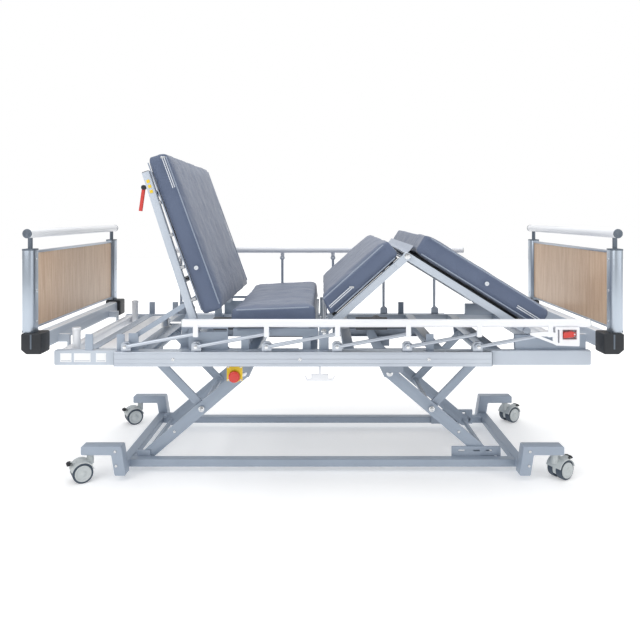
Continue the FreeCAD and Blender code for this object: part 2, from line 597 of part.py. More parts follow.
def deck_brackets():
    """Pivots, roller plates and rests of the lying surface, standing on the side tubes."""
    wall = ("0 - frame_half_width + 8", "0 - frame_half_width + 14")
    cut = ("0 - frame_half_width + 7", "0 - frame_half_width + 15")
    pivot = "0 - back_pivot_x"
    slot_low, slot_high = "back_roll_x", f"{pivot} + 2 * back_link"
    track = box("back_track", (f"{slot_low} - 27", f"{slot_high} + 9"), wall, ("frame_top", "deck_up + 18"))
    cuts = [box("back_track_slot", (slot_low, slot_high), cut,
                ("deck_up - 6 - running", "deck_up + 6 + running"))]
    for n, x in enumerate((slot_low, slot_high)):
        cuts.append(rod(f"back_track_end{n}", "y", (x, "deck_up"), "6 + running", *cut))
    track = minus("back_track_cut", track, *cuts)
    anchor = plate("link_anchor", [(f"{pivot} - 20", "cross_top"), (f"{pivot} - 12", "deck_up + 12"),
                                   (f"{pivot} + 12", "deck_up + 12"), (f"{pivot} + 20", "cross_top")],
                   "0 - tube_in + 15", "0 - tube_in + 23")
    anchor = minus("link_anchor_bored", anchor,
                   rod("link_anchor_hole", "y", (pivot, "deck_up"), "6 + pin_fit",
                       "0 - tube_in + 14", "0 - tube_in + 24"))
    hinge = union("thigh_bracket",
                  box("thigh_bracket_plate", ("thigh_x - 18", "thigh_x + 18"), wall,
                      ("frame_top", "knee_up + 16")),
                  rod("thigh_pin", "y", ("thigh_x", "knee_up"), "6", wall[1], "0 - tube_in - 2"))
    lever = union("lever_bracket",
                  box("lever_bracket_plate", ("0 - lever_x - 18", "0 - lever_x + 18"), wall,
                      ("frame_top", "lever_up + 14")),
                  rod("lever_pin", "y", ("0 - lever_x", "lever_up"), "6", wall[1], "0 - deck_y + 2"))
    seat = box("seat_tube", ("0 - seat_start", "thigh_x - 22"), ("0 - tube_out", "0 - tube_in"),
               ("seat_up - deck_tube - 1", "seat_up - 1"))
    rests = [box(f"seat_rest_{n}", (f"{x} - 15", f"{x} + 15"), ("0 - tube_out", "0 - frame_in + 8"),
                 ("frame_top", "seat_up - deck_tube - 1"))
             for n, x in enumerate(("0 - seat_rest_head", "0 - seat_rest_foot"))]
    runner = box("calf_runner", ("knee_x + calf_length - 126", "thigh_x + thigh_length + calf_length + 30"),
                 ("0 - tube_out", "0 - frame_in + 8"), ("frame_top", "knee_up - 13.8"))
    tabs = [box(f"mattress_stop_{n}", (f"{x} - 14", f"{x} + 14"),
                ("0 - frame_half_width + 2", "0 - frame_half_width + 8"), ("frame_top", "frame_top + 60"))
            for n, x in enumerate(("0 - frame_half_length + 128", "0 - lever_x - 46", "400"))]
    near = group("deck_brackets_near", track, anchor, hinge, lever, seat, *rests, runner, *tabs)
    node("deck_brackets", group("deck_brackets", pair("deck_brackets_both", near), seat_board()))


def fittings():
    """Pole sockets, drainage bag hooks and the stop button on its plate."""
    spot = ("0 - pole_x", "0 - pole_y")
    socket = minus("pole_socket_bored", rod("pole_socket", "z", spot, "pole_r + pole_wall", "frame_low",
                                            "frame_top + pole_rise"),
                   rod("pole_bore", "z", spot, "pole_r", "frame_low + 10", "frame_top + pole_rise + 1"))
    strap = minus("pole_strap_cut",
                  box("pole_strap", ("0 - pole_x - 14", "0 - pole_x + 14"), ("0 - frame_in", "0 - pole_y"),
                      ("frame_low + 2", "frame_low + 20")),
                  rod("pole_strap_bore", "z", spot, "pole_r + pole_wall - 1", "frame_low",
                      "frame_low + 30"))
    node("pole_sockets", pair("pole_sockets", union("pole_socket_whole", socket, strap)))
    hook = plate("bag_hook", [(str(x), f"frame_low + ({z})") for x, z in BAG_HOOK],
                 "0 - frame_half_width + 4", "0 - frame_half_width + 10")
    middle = ("0 - stop_x", "frame_low - 39.5")
    mount = box("stop_plate", ("0 - stop_x - 29", "0 - stop_x + 29"),
                ("0 - frame_half_width - 4", "0 - frame_half_width + 4"), ("frame_low - 58", "frame_low"))
    mount = minus("stop_plate_bored", mount,
                  rod("stop_hole", "y", middle, "11 + pin_fit", "0 - frame_half_width - 5",
                      "0 - frame_half_width + 5"))
    node("side_fittings", group("side_fittings", pair("bag_hooks", hook), mount))
    knob = rod("stop_knob", "y", middle, "21", "0 - frame_half_width - 24", "0 - frame_half_width - 11")
    crown = doc.addObject("Part::Fillet", "stop_crown")
    crown.Base = knob
    doc.recompute()
    crown.Edges = [(n, 6.0, 6.0) for n, edge in enumerate(knob.Shape.Edges, start=1)
                   if edge.BoundBox.YMax < number("0 - frame_half_width - 20")]
    stem = rod("stop_stem", "y", middle, "11", "0 - frame_half_width - 12", "0 - frame_half_width + 6")
    node("stop_button", union("stop_button", crown, stem))


# Outline of a bag hook from the middle of the bed, heights from the underside of the side tube.
BAG_HOOK = ((-14, 0), (-14, -34), (-42, -34), (-42, -52), (-57, -52), (-62, -40), (-66, -42), (-60, -60),
            (40, -60), (46, -42), (42, -40), (37, -52), (22, -52), (22, -34), (-6, -34), (-6, 0))


def actuator(name, near, far, side, up, clevis, rise):
    """A motor body along X and the rod that slides in it, ending in a slotted clevis."""
    to_foot = number(clevis) < number(near)
    low, high = (near, far) if to_foot else (far, near)
    shell = tube_bar(f"{name}_shell", "x", low, high, side, up, "52", "54", "12")
    motor_x = f"{far} - 42" if to_foot else f"{far} + 42"
    motor = rod(f"{name}_motor", "y", (motor_x, up), "25", f"{side} + 26", f"{side} + 84")
    open_end = (f"{low} - 5", f"{high} - 20") if to_foot else (f"{low} + 20", f"{high} + 5")
    bore = rod(f"{name}_bore", "x", (side, up), "spindle_r + pin_fit", *open_end)
    ends = (f"{clevis} + 14", f"{near} + 70") if to_foot else (f"{near} - 70", f"{clevis} - 14")
    shaft = rod(f"{name}_shaft", "x", (side, up), "spindle_r", *ends)
    eye = box(f"{name}_eye", (f"{clevis} - 18", f"{clevis} + 18"), (f"{side} - 8", f"{side} + 8"),
              (f"{up} - 14", f"{up} + {rise} + 12"))
    slot = box(f"{name}_eye_slot", (f"{clevis} - 8", f"{clevis} + 8"), (f"{side} - 9", f"{side} + 9"),
               (f"{up} - 8", f"{up} + {rise} + 7"))
    moving = minus(f"{name}_rod", union(f"{name}_rod_whole", shaft, eye), slot)
    return (minus(f"{name}_body", shell, bore), motor), moving


def actuators():
    lift_up = "frame_pin_up - lift_crank"
    layout = {
        "lift_head": ("0 - frame_pin_x + 140", "0 - frame_pin_x + 310", "0 - 70", lift_up,
                      "0 - frame_pin_x", 6),
        "lift_foot": ("foot_pin_x - 140", "foot_pin_x - 310", "0 - 70", lift_up, "foot_pin_x", 6),
        "back": ("0 - lever_x + 216", "0 - lever_x + 376", "60", "drive_up", "0 - lever_x", 8),
        "knee": ("thigh_x + 145", "thigh_x + 285", "60", "drive_up", "thigh_x", 18),
    }
    bodies = []
    for name, layout_row in layout.items():
        fixed, moving = actuator(name, *layout_row)
        bodies.extend(fixed)
        node(f"{name}_rod", moving)
    bodies.append(tube_bar("control_box", "x", "0 - 300", "0 - 60", "0 - 120", "drive_up + 10", "150", "50",
                           "6"))
    node("actuators", group("actuators", *bodies))


# ---------------------------------------------------------------- lying surface

def back_section():
    """Built flat along +X from the roller end, then leaned; the front face looks to -Z."""
    tube = link_bar("back_tube", "back_length", "deck_tube", "0 - tube_out", "0 - tube_in", end_round=False)
    pin = rod("back_roller", "y", ("0", "0"), "6", "0 - frame_half_width + 8", "0 - tube_out + 1")
    joint = rod("back_joint_pin", "y", ("back_link", "0"), "6", "0 - tube_in - 1", "0 - tube_in + 12")
    studs = [rod(f"back_stud_{n}", "z", (f"110 + 129 * {n}", "0 - deck_y"), "7",
                 f"0 - 33 + 129 * {n} * 0.0343", "0 - tube_half + 1") for n in range(4)]
    near = union("back_side", tube, pin, joint, *studs)
    cross_low = rod("back_cross_low", "y", ("190", "0"), "11", "0 - tube_in - 1", "tube_in + 1")
    cross_high = rod("back_cross_high", "y", ("back_length - 82", "0"), "11", "0 - tube_in - 1",
                     "tube_in + 1")
    frame = union("back_frame_whole", near, mirror("back_side_far", near), cross_low, cross_high)
    board = plate("back_board_flat", [("60", "0 - 37"), ("back_length - 2", "0 - 17.8"),
                                      ("back_length - 2", "0 - 11.8"), ("60", "0 - 31")],
                  "0 - board_half", "board_half")
    pad = plate("back_pad_flat", [("35", "0 - 38.6"), ("back_length + 62", "0 - 18.4"),
                                  ("back_length + 59", "0 - 18.4 - pad_thick"),
                                  ("32", "0 - 38.6 - pad_thick")],
                "0 - pad_half_width", "pad_half_width", "8")
    for label, pieces in (("backrest_frame", (frame, board)), ("back_pad", (pad,))):
        item = lean(group(label, *pieces), "180 - back_lean")
        place(item, "back_roll_x", "0", "deck_up")
        node(label, item)


def back_drive():
    arm = link_bar("back_link_arm", "back_link", "26", "0 - tube_in + 2", "0 - tube_in + 10",
                   [("back_link", "6 + pin_fit")])
    pin = rod("back_link_pin", "y", ("0", "0"), "6", "0 - tube_in + 9", "0 - tube_in + 24")
    near = union("back_link_side", arm, pin)
    link = lean(pair("backrest_links", near), "back_lean")
    place(link, "0 - back_pivot_x", "0", "deck_up")
    node("backrest_links", link)
    bar = link_bar("lift_lever_bar", "213", "18", "0 - tube_out + 5", "0 - tube_in - 4",
                   [("0", "6 + pin_fit")])
    both = pair("lift_lever_bars", bar)
    lean(both, "32")
    tube = minus("lift_lever_tube",
                 rod("lift_lever_tube_bar", "y", ("0", "0"), "9.5", "0 - deck_y - 2", "deck_y + 2"),
                 rod("lever_tube_bore", "y", ("0", "0"), "6 + pin_fit", "0 - tube_out", "0 - deck_y + 3"),
                 rod("lever_tube_bore_far", "y", ("0", "0"), "6 + pin_fit", "deck_y - 3", "tube_out"))
    crank = [box(f"lever_crank_{n}", ("0 - 8", "8"), (f"{y} - 4", f"{y} + 4"), ("0 - 42", "0"))
             for n, y in enumerate(("46", "74"))]
    pin = rod("lever_crank_pin", "y", ("0", "drive_up - lever_up"), "5", "48", "72")
    lever = group("back_lift_lever", union("lever_whole", both, tube, *crank, pin))
    place(lever, "0 - lever_x", "0", "lever_up")
    node("back_lift_lever", lever)
    handle = union("cpr_handle", rod("cpr_grip", "x", ("0", "0"), "7", "0 - 90", "0"),
                   rod("cpr_hub", "y", ("0", "0"), "9", "0 - 8", "8"))
    lean(handle, "82")
    release = group("cpr_lever", handle)
    place(release, "back_roll_x + (back_length - 52) * cos(180 - back_lean) - 24", "0 - deck_y",
          "deck_up + (back_length - 52) * sin(back_lean) - 8")
    node("cpr_lever", release)


def leg_sections():
    """Thigh and calf, each built flat from its hinge and then leaned."""
    tube = link_bar("thigh_tube", "thigh_length - 27", "deck_tube", "0 - tube_out", "0 - tube_in",
                    [("0", "6 + pin_fit")], end_round=False)
    ear = link_bar("knee_ear", "55", "deck_tube", "0 - tube_out - 6", "0 - tube_out", start_round=False)
    place(ear, "thigh_length - 55", "0", "0")
    knee_pin = rod("knee_pin", "y", ("thigh_length", "0"), "6", "0 - tube_out - 1", "0 - tube_in - 3")
    near = union("thigh_side", tube, ear, knee_pin)
    cross = [rod(f"thigh_cross_{n}", "y", (x, "0"), "10", "0 - tube_in - 1", "tube_in + 1")
             for n, x in enumerate(("0", "thigh_length - 60"))]
    slat = box("thigh_board_flat", ("60", "thigh_length - 30"), ("0 - board_half", "board_half"),
               ("12", "20"))
    frame = union("thigh_frame_whole", near, mirror("thigh_side_far", near), *cross)
    item = lean(group("thigh_sloping", frame, slat), "thigh_lean")
    cranks = [box(f"thigh_crank_{n}", ("0 - 8", "8"), (f"{y} - 4", f"{y} + 4"),
                  ("drive_up - knee_up - 9", "0"))
              for n, y in enumerate(("46", "74"))]
    pin = rod("thigh_crank_pin", "y", ("0", "drive_up - knee_up"), "5", "48", "72")
    crank = union("thigh_crank", *cranks, pin)
    crank = minus("thigh_crank_cut", crank, rod("thigh_crank_bore", "y", ("0", "0"), "10", "40", "80"))
    whole = place(group("thigh_frame", item, crank), "thigh_x", "0", "knee_up")
    node("thigh_frame", whole)
    pad = plate("thigh_pad_flat", [("45", "21"), ("thigh_length - 5", "21"),
                                   ("thigh_length - 5", "18 + pad_thick"), ("66", "18 + pad_thick")],
                "0 - pad_half_width", "pad_half_width", "8")
    item = lean(group("thigh_pad", pad), "thigh_lean")
    node("thigh_pad", place(item, "thigh_x", "0", "knee_up"))
    bar = link_bar("calf_tube", "calf_length - 18", "deck_tube", "0 - tube_out", "0 - tube_in",
                   [("0", "6 + pin_fit")], end_round=False)
    wheel = rod("calf_roller", "y", ("calf_length", "0"), "13", "0 - tube_out + 5", "0 - tube_in - 5")
    yoke = box("calf_yoke", ("calf_length - 20", "calf_length + 4"), ("0 - tube_in", "0 - tube_in + 6"),
               ("0 - 9", "12"))
    yoke_pin = rod("calf_yoke_pin", "y", ("calf_length", "0"), "5", "0 - tube_in - 6", "0 - tube_in + 1")
    near = union("calf_side", bar, wheel, yoke, yoke_pin)
    ties = [rod(f"calf_cross_{n}", "y", (x, "0"), "10", "0 - tube_in - 1", "tube_in + 1")
            for n, x in enumerate(("60", "calf_length - 60"))]
    frame = union("calf_frame_whole", near, mirror("calf_side_far", near), *ties)
    slat = box("calf_board_flat", ("30", "calf_length - 4"), ("0 - board_half", "board_half"), ("14", "22"))
    pad = plate("calf_pad_flat", [("6", "29"), ("calf_pad", "29"), ("calf_pad", "29 + pad_thick"),
                                  ("6", "29 + pad_thick")], "0 - pad_half_width", "pad_half_width", "8")
    for label, pieces in (("calf_frame", (frame, slat)), ("calf_pad", (pad,))):
        item = lean(group(label, *pieces), "0 - calf_lean")
        node(label, place(item, "knee_x", "0", "knee_top"))


def seat_board():
    board = box("seat_board_flat", ("0 - seat_start", "thigh_x - 22"), ("0 - board_half", "board_half"),
                ("seat_up - 10", "seat_up - 2"))
    ribs = [box(f"seat_rib_{n}", (f"{x} - 12", f"{x} + 12"), ("0 - tube_in", "tube_in"),
                ("seat_up - 26", "seat_up - 10")) for n,
            x in enumerate(("0 - seat_rest_head", "0 - seat_rest_foot"))]
    return group("seat_board", board, *ribs)


def seat():
    node("seat_pad", plate("seat_pad", [("0 - seat_start - 18", "seat_up"), ("thigh_x - 19", "seat_up"),
                                        ("thigh_x - 23", "seat_up + pad_thick + 8"),
                                        ("0 - seat_start - 18", "seat_up + pad_thick - 6")],
                           "0 - pad_half_width", "pad_half_width", "8"))


# ---------------------------------------------------------------- boards

def boards():
    beam = tube_bar("board_beam", "y", "0 - bumper_side + 80", "bumper_side - 80", "bumper_out - 38",
                    "frame_low + 88", "44", "62", "8")
    mount = [box(f"board_mount_{n}", ("frame_half_length", "bumper_out - 60"), (f"{y} - 9", f"{y} + 9"),
                 ("frame_low + 60", "frame_low + 90")) for n, y in enumerate(("0 - 300", "300"))]
    prop = [box(f"board_prop_{n}", ("frame_half_length", "frame_half_length + 8"), (f"{y} - 9", f"{y} + 9"),
                ("frame_low + 16", "frame_low + 60")) for n, y in enumerate(("0 - 300", "300"))]
    foot = group("board_beam_end", union("board_beam_whole", beam, *mount, *prop))
    beams = pair("board_beams", foot, (1, 0, 0))
    bumper = plate("bumper", [("bumper_out - 75", "frame_low + 50"),
                              ("bumper_out - 75", "post_low - running"),
                              ("bumper_out", "post_low - running"), ("bumper_out", "frame_low + 66"),
                              ("bumper_out - 20", "frame_low + 50")],
                   "0 - bumper_side", "0 - bumper_side + 80", "7")
    bumpers = pair("bumpers_foot", bumper)
    node("bumpers", pair("bumpers", bumpers, (1, 0, 0)))
    post = upright_tube("post_core", "post_x", "0 - post_y", "post_low", "post_top", "post_wide",
                        "post_deep",
                        "20")
    stub = rod("post_stub", "z", ("post_x", "0 - post_y"), "8.5", "post_top - 1", "grab_up - 14")
    grab = rod("grab_tube", "y", ("post_x - 5", "grab_up"), "grab_r", "0 - bumper_side + 4",
               "bumper_side - 4")
    near = group("post_near", union("post_whole", post, stub))
    frame = union("board_frame", near, mirror("post_far", near), grab)
    node("board_frames", group("board_frames", pair("board_posts", frame, (1, 0, 0)), beams))
    panel = tube_bar("board_panel", "y", "0 - post_y + post_deep / 2 + running",
                     "post_y - post_deep / 2 - running", "post_x", "(panel_low + panel_top) / 2",
                     "panel_thick",
                     "panel_top - panel_low", "3")
    node("board_panels", pair("board_panels", panel, (1, 0, 0)))


# ---------------------------------------------------------------- safety rails

def rail_base(side):
    strip = tube_bar(f"rail_strip_{side}", "x", "rail_first_x - rail_lead",
                     "rail_first_x + last_lug + rail_tail",
                     "0 - frame_half_width - 12", "frame_low + frame_high / 2", "24", "frame_high", "3")
    blocks = []
    for n in range(6):
        x = f"rail_first_x + {n} * rail_pitch"
        block = plate(f"rail_bracket_{side}_{n}", [(f"{x} - 18", "frame_top"),
                                                   (f"{x} - 18", "rail_pivot_up + 8"),
                                                   (f"{x} - 9", "rail_pivot_up + 17"),
                                                   (f"{x} + 9", "rail_pivot_up + 17"),
                                                   (f"{x} + 18", "rail_pivot_up + 8"),
                                                   (f"{x} + 18", "frame_top")],
                      "0 - rail_y + 8", "0 - frame_half_width")
        pin = rod(f"rail_pin_{side}_{n}", "y", (x, "rail_pivot_up"), "4", "0 - rail_y - 9",
                  "0 - rail_y + 9")
        blocks.append(union(f"rail_block_{side}_{n}", block, pin))
    return group(f"rail_base_{side}", strip, *blocks)


def upright(name):
    bar = rod(name + "_bar", "x", ("0 - rail_y", "0"), "upright_r", "0", "rail_arm")
    eyes = [rod(f"{name}_eye_{n}", "y", (x, "0"), "12", "0 - rail_y - 6", "0 - rail_y + 6")
            for n, x in enumerate(("0", "rail_arm"))]
    holes = [rod(f"{name}_hole_{n}", "y", (x, "0"), "4 + pin_fit", "0 - rail_y - 8", "0 - rail_y + 8")
             for n, x in enumerate(("0", "rail_arm"))]
    return minus(name, union(name + "_whole", bar, *eyes), *holes)


def top_bar(name):
    """Top bar about the first upper pivot, with six lugs and the release housing."""
    bar = rod(name + "_tube", "x", ("0 - rail_y", "rail_bar_over"), "rail_bar_r", "0 - rail_bar_lead",
              "rail_bar_length - rail_bar_lead")
    pieces = [bar]
    for n in range(6):
        x = f"{n} * rail_pitch"
        pieces.append(box(f"{name}_lug_{n}", (f"{x} - 9", f"{x} + 9"),
                          ("0 - rail_y - 14", "0 - rail_y - 8"),
                          ("0 - 9", "rail_bar_over - 4")))
        pieces.append(rod(f"{name}_lug_pin_{n}", "y", (x, "0"), "4", "0 - rail_y - 9", "0 - rail_y + 9"))
    back, front = "0 - rail_y - 14", "0 - rail_y - 8"
    house = plate(f"{name}_house", [("last_lug + 18", "0 - 40"), ("last_lug + 106", "0 - 43"),
                                    ("last_lug + 106", "28"), ("last_lug + 18", "28")], back,
                  "0 - rail_y + 12", "4")
    house = minus(f"{name}_house_cut", house,
                  box(f"{name}_house_window", ("last_lug + 44", "last_lug + 96"),
                      ("0 - rail_y - 15", "0 - rail_y + 8"), ("0 - 18", "18")),
                  box(f"{name}_house_slot", ("last_lug + 26", "last_lug + 33"),
                      ("0 - rail_y - 15", "0 - rail_y + 13"), ("0 - 30", "18")))
    gusset = plate(f"{name}_gusset", [("last_lug + 20", "0 - 38"), ("last_lug + 20", "6"),
                                      ("last_lug - 4", "12"),
                                      ("last_lug - 74", "6"), ("last_lug - 74", "0 - 2")], back, front)
    gusset = minus(f"{name}_gusset_cut", gusset,
                   plate(f"{name}_gusset_hole", [("last_lug + 8", "0 - 24"), ("last_lug + 8", "0 - 8"),
                                                 ("last_lug - 36", "0 - 6")],
                         "0 - rail_y - 20", "0 - rail_y + 4"))
    pin = rod(f"{name}_handle_pin", "y", ("last_lug + 90", "0"), "3", "0 - rail_y - 9", "0 - rail_y + 9")
    return union(name, *pieces, house, gusset, pin)


def handle(name):
    """Red release grip in the housing of a top bar."""
    body = plate(f"{name}_grip", [("last_lug + 46", "0 - 12"), ("last_lug + 46", "8"),
                                  ("last_lug + 78", "12"),
                                  ("last_lug + 94", "6"), ("last_lug + 94", "0 - 6")],
                 "0 - rail_y - 22", "0 - rail_y + 6", "2")
    bore = rod(f"{name}_bore", "y", ("last_lug + 90", "0"), "3 + pin_fit", "0 - rail_y - 23",
               "0 - rail_y + 8")
    space = box(f"{name}_clear", ("last_lug + 82", "last_lug + 97"),
                ("0 - rail_y - 23", "0 - rail_y - 9.5"),
                ("0 - 20", "20"))
    return minus(name, body, bore, space)


def safety_rails():
    bases = []
    for side, way, angle in (("near", -1, "rail_fold"), ("far", 1, "90")):
        base, arm = rail_base(side), upright(f"upright_{side}")
        bar, grip = top_bar(f"top_bar_{side}"), handle(f"release_{side}")
        if way == 1:
            base, arm, bar, grip = [mirror(f"{part.Name}_turned", part) for part in (base, arm, bar, grip)]
        bases.append(base)
        for n in range(6):
            item = lean(group(f"rail_upright_{side}_{n + 1}", arm), angle)
            place(item, f"rail_first_x + {n} * rail_pitch", "0", "rail_pivot_up")
            node(f"rail_upright_{side}_{n + 1}", item)
        for label, piece in (("rail_top_bar", bar), ("rail_release", grip)):
            item = group(f"{label}_{side}", piece)
            place(item, f"rail_first_x + rail_arm * cos({angle})", "0",
                  f"rail_pivot_up + rail_arm * sin({angle})")
            node(f"{label}_{side}", item)
    node("rail_bases", group("rail_bases", *bases))


for build in (base_frame, caster_brackets, casters, lift, frame_tubes, deck_brackets,
              fittings, actuators, back_section, back_drive, leg_sections, seat, boards, safety_rails):
    build()
doc.recompute()

faults = [item.Name for item in doc.Objects if "Invalid" in item.State or "Error" in item.State]
faults += [item.Label for item in NODES if item.Shape.isNull() or not item.Shape.isValid()]
if faults:
    raise RuntimeError("failed objects: " + ", ".join(faults))

os.makedirs("parts", exist_ok=True)
for item in NODES:
    item.Shape.exportStep(f"parts/{item.Label}.step")
print(len(NODES), "sub-parts,", sum(len(item.Shape.Solids) for item in NODES), "solids")
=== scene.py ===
"""Adjustable hospital bed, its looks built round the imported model. Metres; +X foot end, +Z up."""
import bpy
import math
from mathutils import Euler, Matrix, Vector


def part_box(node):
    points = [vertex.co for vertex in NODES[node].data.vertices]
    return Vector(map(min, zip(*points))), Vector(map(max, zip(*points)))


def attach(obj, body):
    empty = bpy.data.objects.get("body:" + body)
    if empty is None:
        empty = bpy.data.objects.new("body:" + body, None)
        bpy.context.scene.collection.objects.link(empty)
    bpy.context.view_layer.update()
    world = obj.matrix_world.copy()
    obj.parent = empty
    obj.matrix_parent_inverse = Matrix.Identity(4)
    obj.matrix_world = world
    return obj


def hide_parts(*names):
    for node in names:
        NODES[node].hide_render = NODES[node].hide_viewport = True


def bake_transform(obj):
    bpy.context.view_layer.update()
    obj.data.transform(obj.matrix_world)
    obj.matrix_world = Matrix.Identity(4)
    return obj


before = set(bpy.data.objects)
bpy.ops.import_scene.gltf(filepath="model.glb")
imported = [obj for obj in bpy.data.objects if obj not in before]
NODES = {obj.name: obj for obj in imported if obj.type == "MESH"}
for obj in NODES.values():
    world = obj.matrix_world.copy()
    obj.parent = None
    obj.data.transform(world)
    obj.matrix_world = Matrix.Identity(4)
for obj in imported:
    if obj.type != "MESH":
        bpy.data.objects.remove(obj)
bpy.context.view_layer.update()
AXIS_Z = {"x": (0, math.pi / 2, 0), "y": (math.pi / 2, 0, 0), "z": (0, 0, 0)}


# ---------------------------------------------------------------- tools of the bench

def clear():
    """Nothing stays selected, so an operator acts only on what comes next."""
    if bpy.context.object and bpy.context.object.mode != "OBJECT":
        bpy.ops.object.mode_set(mode="OBJECT")
    bpy.ops.object.select_all(action="DESELECT")


def take(piece):
    clear()
    piece.select_set(True)
    bpy.context.view_layer.objects.active = piece
    return piece


def settle(piece, name):
    """Puts the piece's place, turn and scale into its mesh."""
    piece.name = name
    piece.data.name = name
    take(piece)
    bpy.ops.object.transform_apply(location=True, rotation=True, scale=True)
    return piece


def modify(piece, kind, **settings):
    """Adds a modifier and applies it."""
    take(piece)
    modifier = piece.modifiers.new(kind.lower(), kind)
    for key, setting in settings.items():
        setattr(modifier, key, setting)
    bpy.ops.object.modifier_apply(modifier=modifier.name)
    return piece


def smooth(piece, angle=40):
    """Smooth shading, with edges sharper than the angle kept crisp."""
    take(piece)
    bpy.ops.object.shade_smooth_by_angle(angle=math.radians(angle))
    return piece


def block(name, low, high, round_by=0.002, segments=3):
    """A block between two corners with rounded edges."""
    clear()
    low, high = Vector(low), Vector(high)
    bpy.ops.mesh.primitive_cube_add(size=1, location=(low + high) / 2)
    piece = bpy.context.object
    piece.scale = high - low
    settle(piece, name)
    if round_by:
        modify(piece, "BEVEL", width=round_by, segments=segments, limit_method="ANGLE")
    return smooth(piece)


def disc(name, axis, centre, radius, depth, round_by=0.001, steps=40, segments=2):
    """A round bar or disc about a point, its rims rounded."""
    clear()
    bpy.ops.mesh.primitive_cylinder_add(vertices=steps, radius=radius, depth=depth, location=centre,
                                        rotation=AXIS_Z[axis])
    piece = settle(bpy.context.object, name)
    if round_by:
        modify(piece, "BEVEL", width=round_by, segments=segments, limit_method="ANGLE")
    return smooth(piece)


def press(piece, axis, side, inset, depth):
    """Insets the flat end face that looks along an axis and pushes it in or out."""
    take(piece)
    way = Vector([side if name == axis else 0 for name in "xyz"])
    bpy.ops.object.mode_set(mode="EDIT")
    bpy.ops.mesh.select_mode(type="FACE")
    bpy.ops.mesh.select_all(action="DESELECT")
    bpy.ops.object.mode_set(mode="OBJECT")
    largest = max((face for face in piece.data.polygons if face.normal.dot(way) > 0.95), key=lambda f: f.area)
    largest.select = True
    bpy.ops.object.mode_set(mode="EDIT")
    bpy.ops.mesh.inset(thickness=inset, depth=0)
    bpy.ops.mesh.inset(thickness=abs(depth) * 0.4, depth=depth)
    bpy.ops.object.mode_set(mode="OBJECT")
    return piece


def join(name, pieces):
    """Makes one piece of several."""
    clear()
    for piece in pieces:
        piece.select_set(True)
    bpy.context.view_layer.objects.active = pieces[0]
    bpy.ops.object.join()
    pieces[0].name = name
    pieces[0].data.name = name
    return pieces[0]


def dress(piece, finish, body):
    """Gives a piece its material and the body it moves with."""
    piece.data.materials.clear()
    piece.data.materials.append(finish)
    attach(piece, body)
    return piece


def turned(piece, pivot, angle, axis="Y"):
    """Turns a piece about a pivot; a positive angle lifts +X towards +Z when the axis is Y."""
    sign = -1 if axis == "Y" else 1
    spin = Matrix.Translation(pivot) @ Matrix.Rotation(sign * math.radians(angle), 4, axis)
    piece.data.transform(spin @ Matrix.Translation(-Vector(pivot)))
    return piece


# ---------------------------------------------------------------- materials

def linear(code):
    """An sRGB hex colour in linear light."""
    parts = [int(code[i:i + 2], 16) / 255 for i in (1, 3, 5)]
    return [c / 12.92 if c <= 0.04045 else ((c + 0.055) / 1.055) ** 2.4 for c in parts] + [1.0]


def add(tree, kind, sets=(), links=()):
    """One shader node with its settings, its socket values and the sockets that feed it."""
    part = tree.nodes.new(kind)
    for key, setting in sets:
        if isinstance(key, str) and hasattr(part, key):
            setattr(part, key, setting)
        else:
            part.inputs[key].default_value = setting
    for key, source in links:
        tree.links.new(source, part.inputs[key])
    return part


def start(name, colour, rough, metal=0.0, **more):
    """A new material with its main shader values; gives back the material, its tree and its shader."""
    made = bpy.data.materials.new(name)
    made.use_nodes = True
    shader = made.node_tree.nodes["Principled BSDF"]
    shader.inputs["Base Color"].default_value = linear(colour)
    shader.inputs["Roughness"].default_value = rough
    shader.inputs["Metallic"].default_value = metal
    for key, setting in more.items():
        shader.inputs[key.replace("_", " ")].default_value = setting
    return made, made.node_tree, shader


def mottle(tree, shader, colour, other, scale, share=0.5, detail=3.0):
    """Two close tints of one finish, in soft patches of a real size."""
    place = add(tree, "ShaderNodeTexCoord").outputs["Object"]
    cloud = add(tree, "ShaderNodeTexNoise", [("Scale", scale), ("Detail", detail)], [("Vector", place)])
    ramp = add(tree, "ShaderNodeValToRGB", links=[("Fac", cloud.outputs["Fac"])])
    ramp.color_ramp.elements[0].color = linear(colour)
    ramp.color_ramp.elements[0].position = 0.5 - share / 2
    ramp.color_ramp.elements[1].color = linear(other)
    ramp.color_ramp.elements[1].position = 0.5 + share / 2
    tree.links.new(ramp.outputs["Color"], shader.inputs["Base Color"])
    return place


def rough_patches(tree, shader, place, scale, low, high):
    """Handling marks: the gloss drifts between two values from patch to patch."""
    cloud = add(tree, "ShaderNodeTexNoise", [("Scale", scale), ("Detail", 4.0)], [("Vector", place)])
    spread = add(tree, "ShaderNodeMapRange", [("To Min", low), ("To Max", high)],
                 [("Value", cloud.outputs["Fac"])])
    tree.links.new(spread.outputs["Result"], shader.inputs["Roughness"])


def grain(tree, shader, height, strength, distance):
    """A relief of the surface, distance metres deep."""
    bump = add(tree, "ShaderNodeBump", [("Strength", strength), ("Distance", distance)], [("Height", height)])
    tree.links.new(bump.outputs["Normal"], shader.inputs["Normal"])


def powder_coat(name, colour, other, rough=0.38):
    """Polyester powder coat: a soft gloss with the orange peel of the baked film, 2 mm wide."""
    made, tree, shader = start(name, colour, rough, Coat_Weight=0.15, Coat_Roughness=0.25)
    place = mottle(tree, shader, colour, other, 5.0)
    rough_patches(tree, shader, place, 14.0, rough - 0.05, rough + 0.08)
    peel = add(tree, "ShaderNodeTexNoise", [("Scale", 500.0), ("Detail", 2.0)], [("Vector", place)])
    grain(tree, shader, peel.outputs["Fac"], 0.12, 0.0006)
    return made


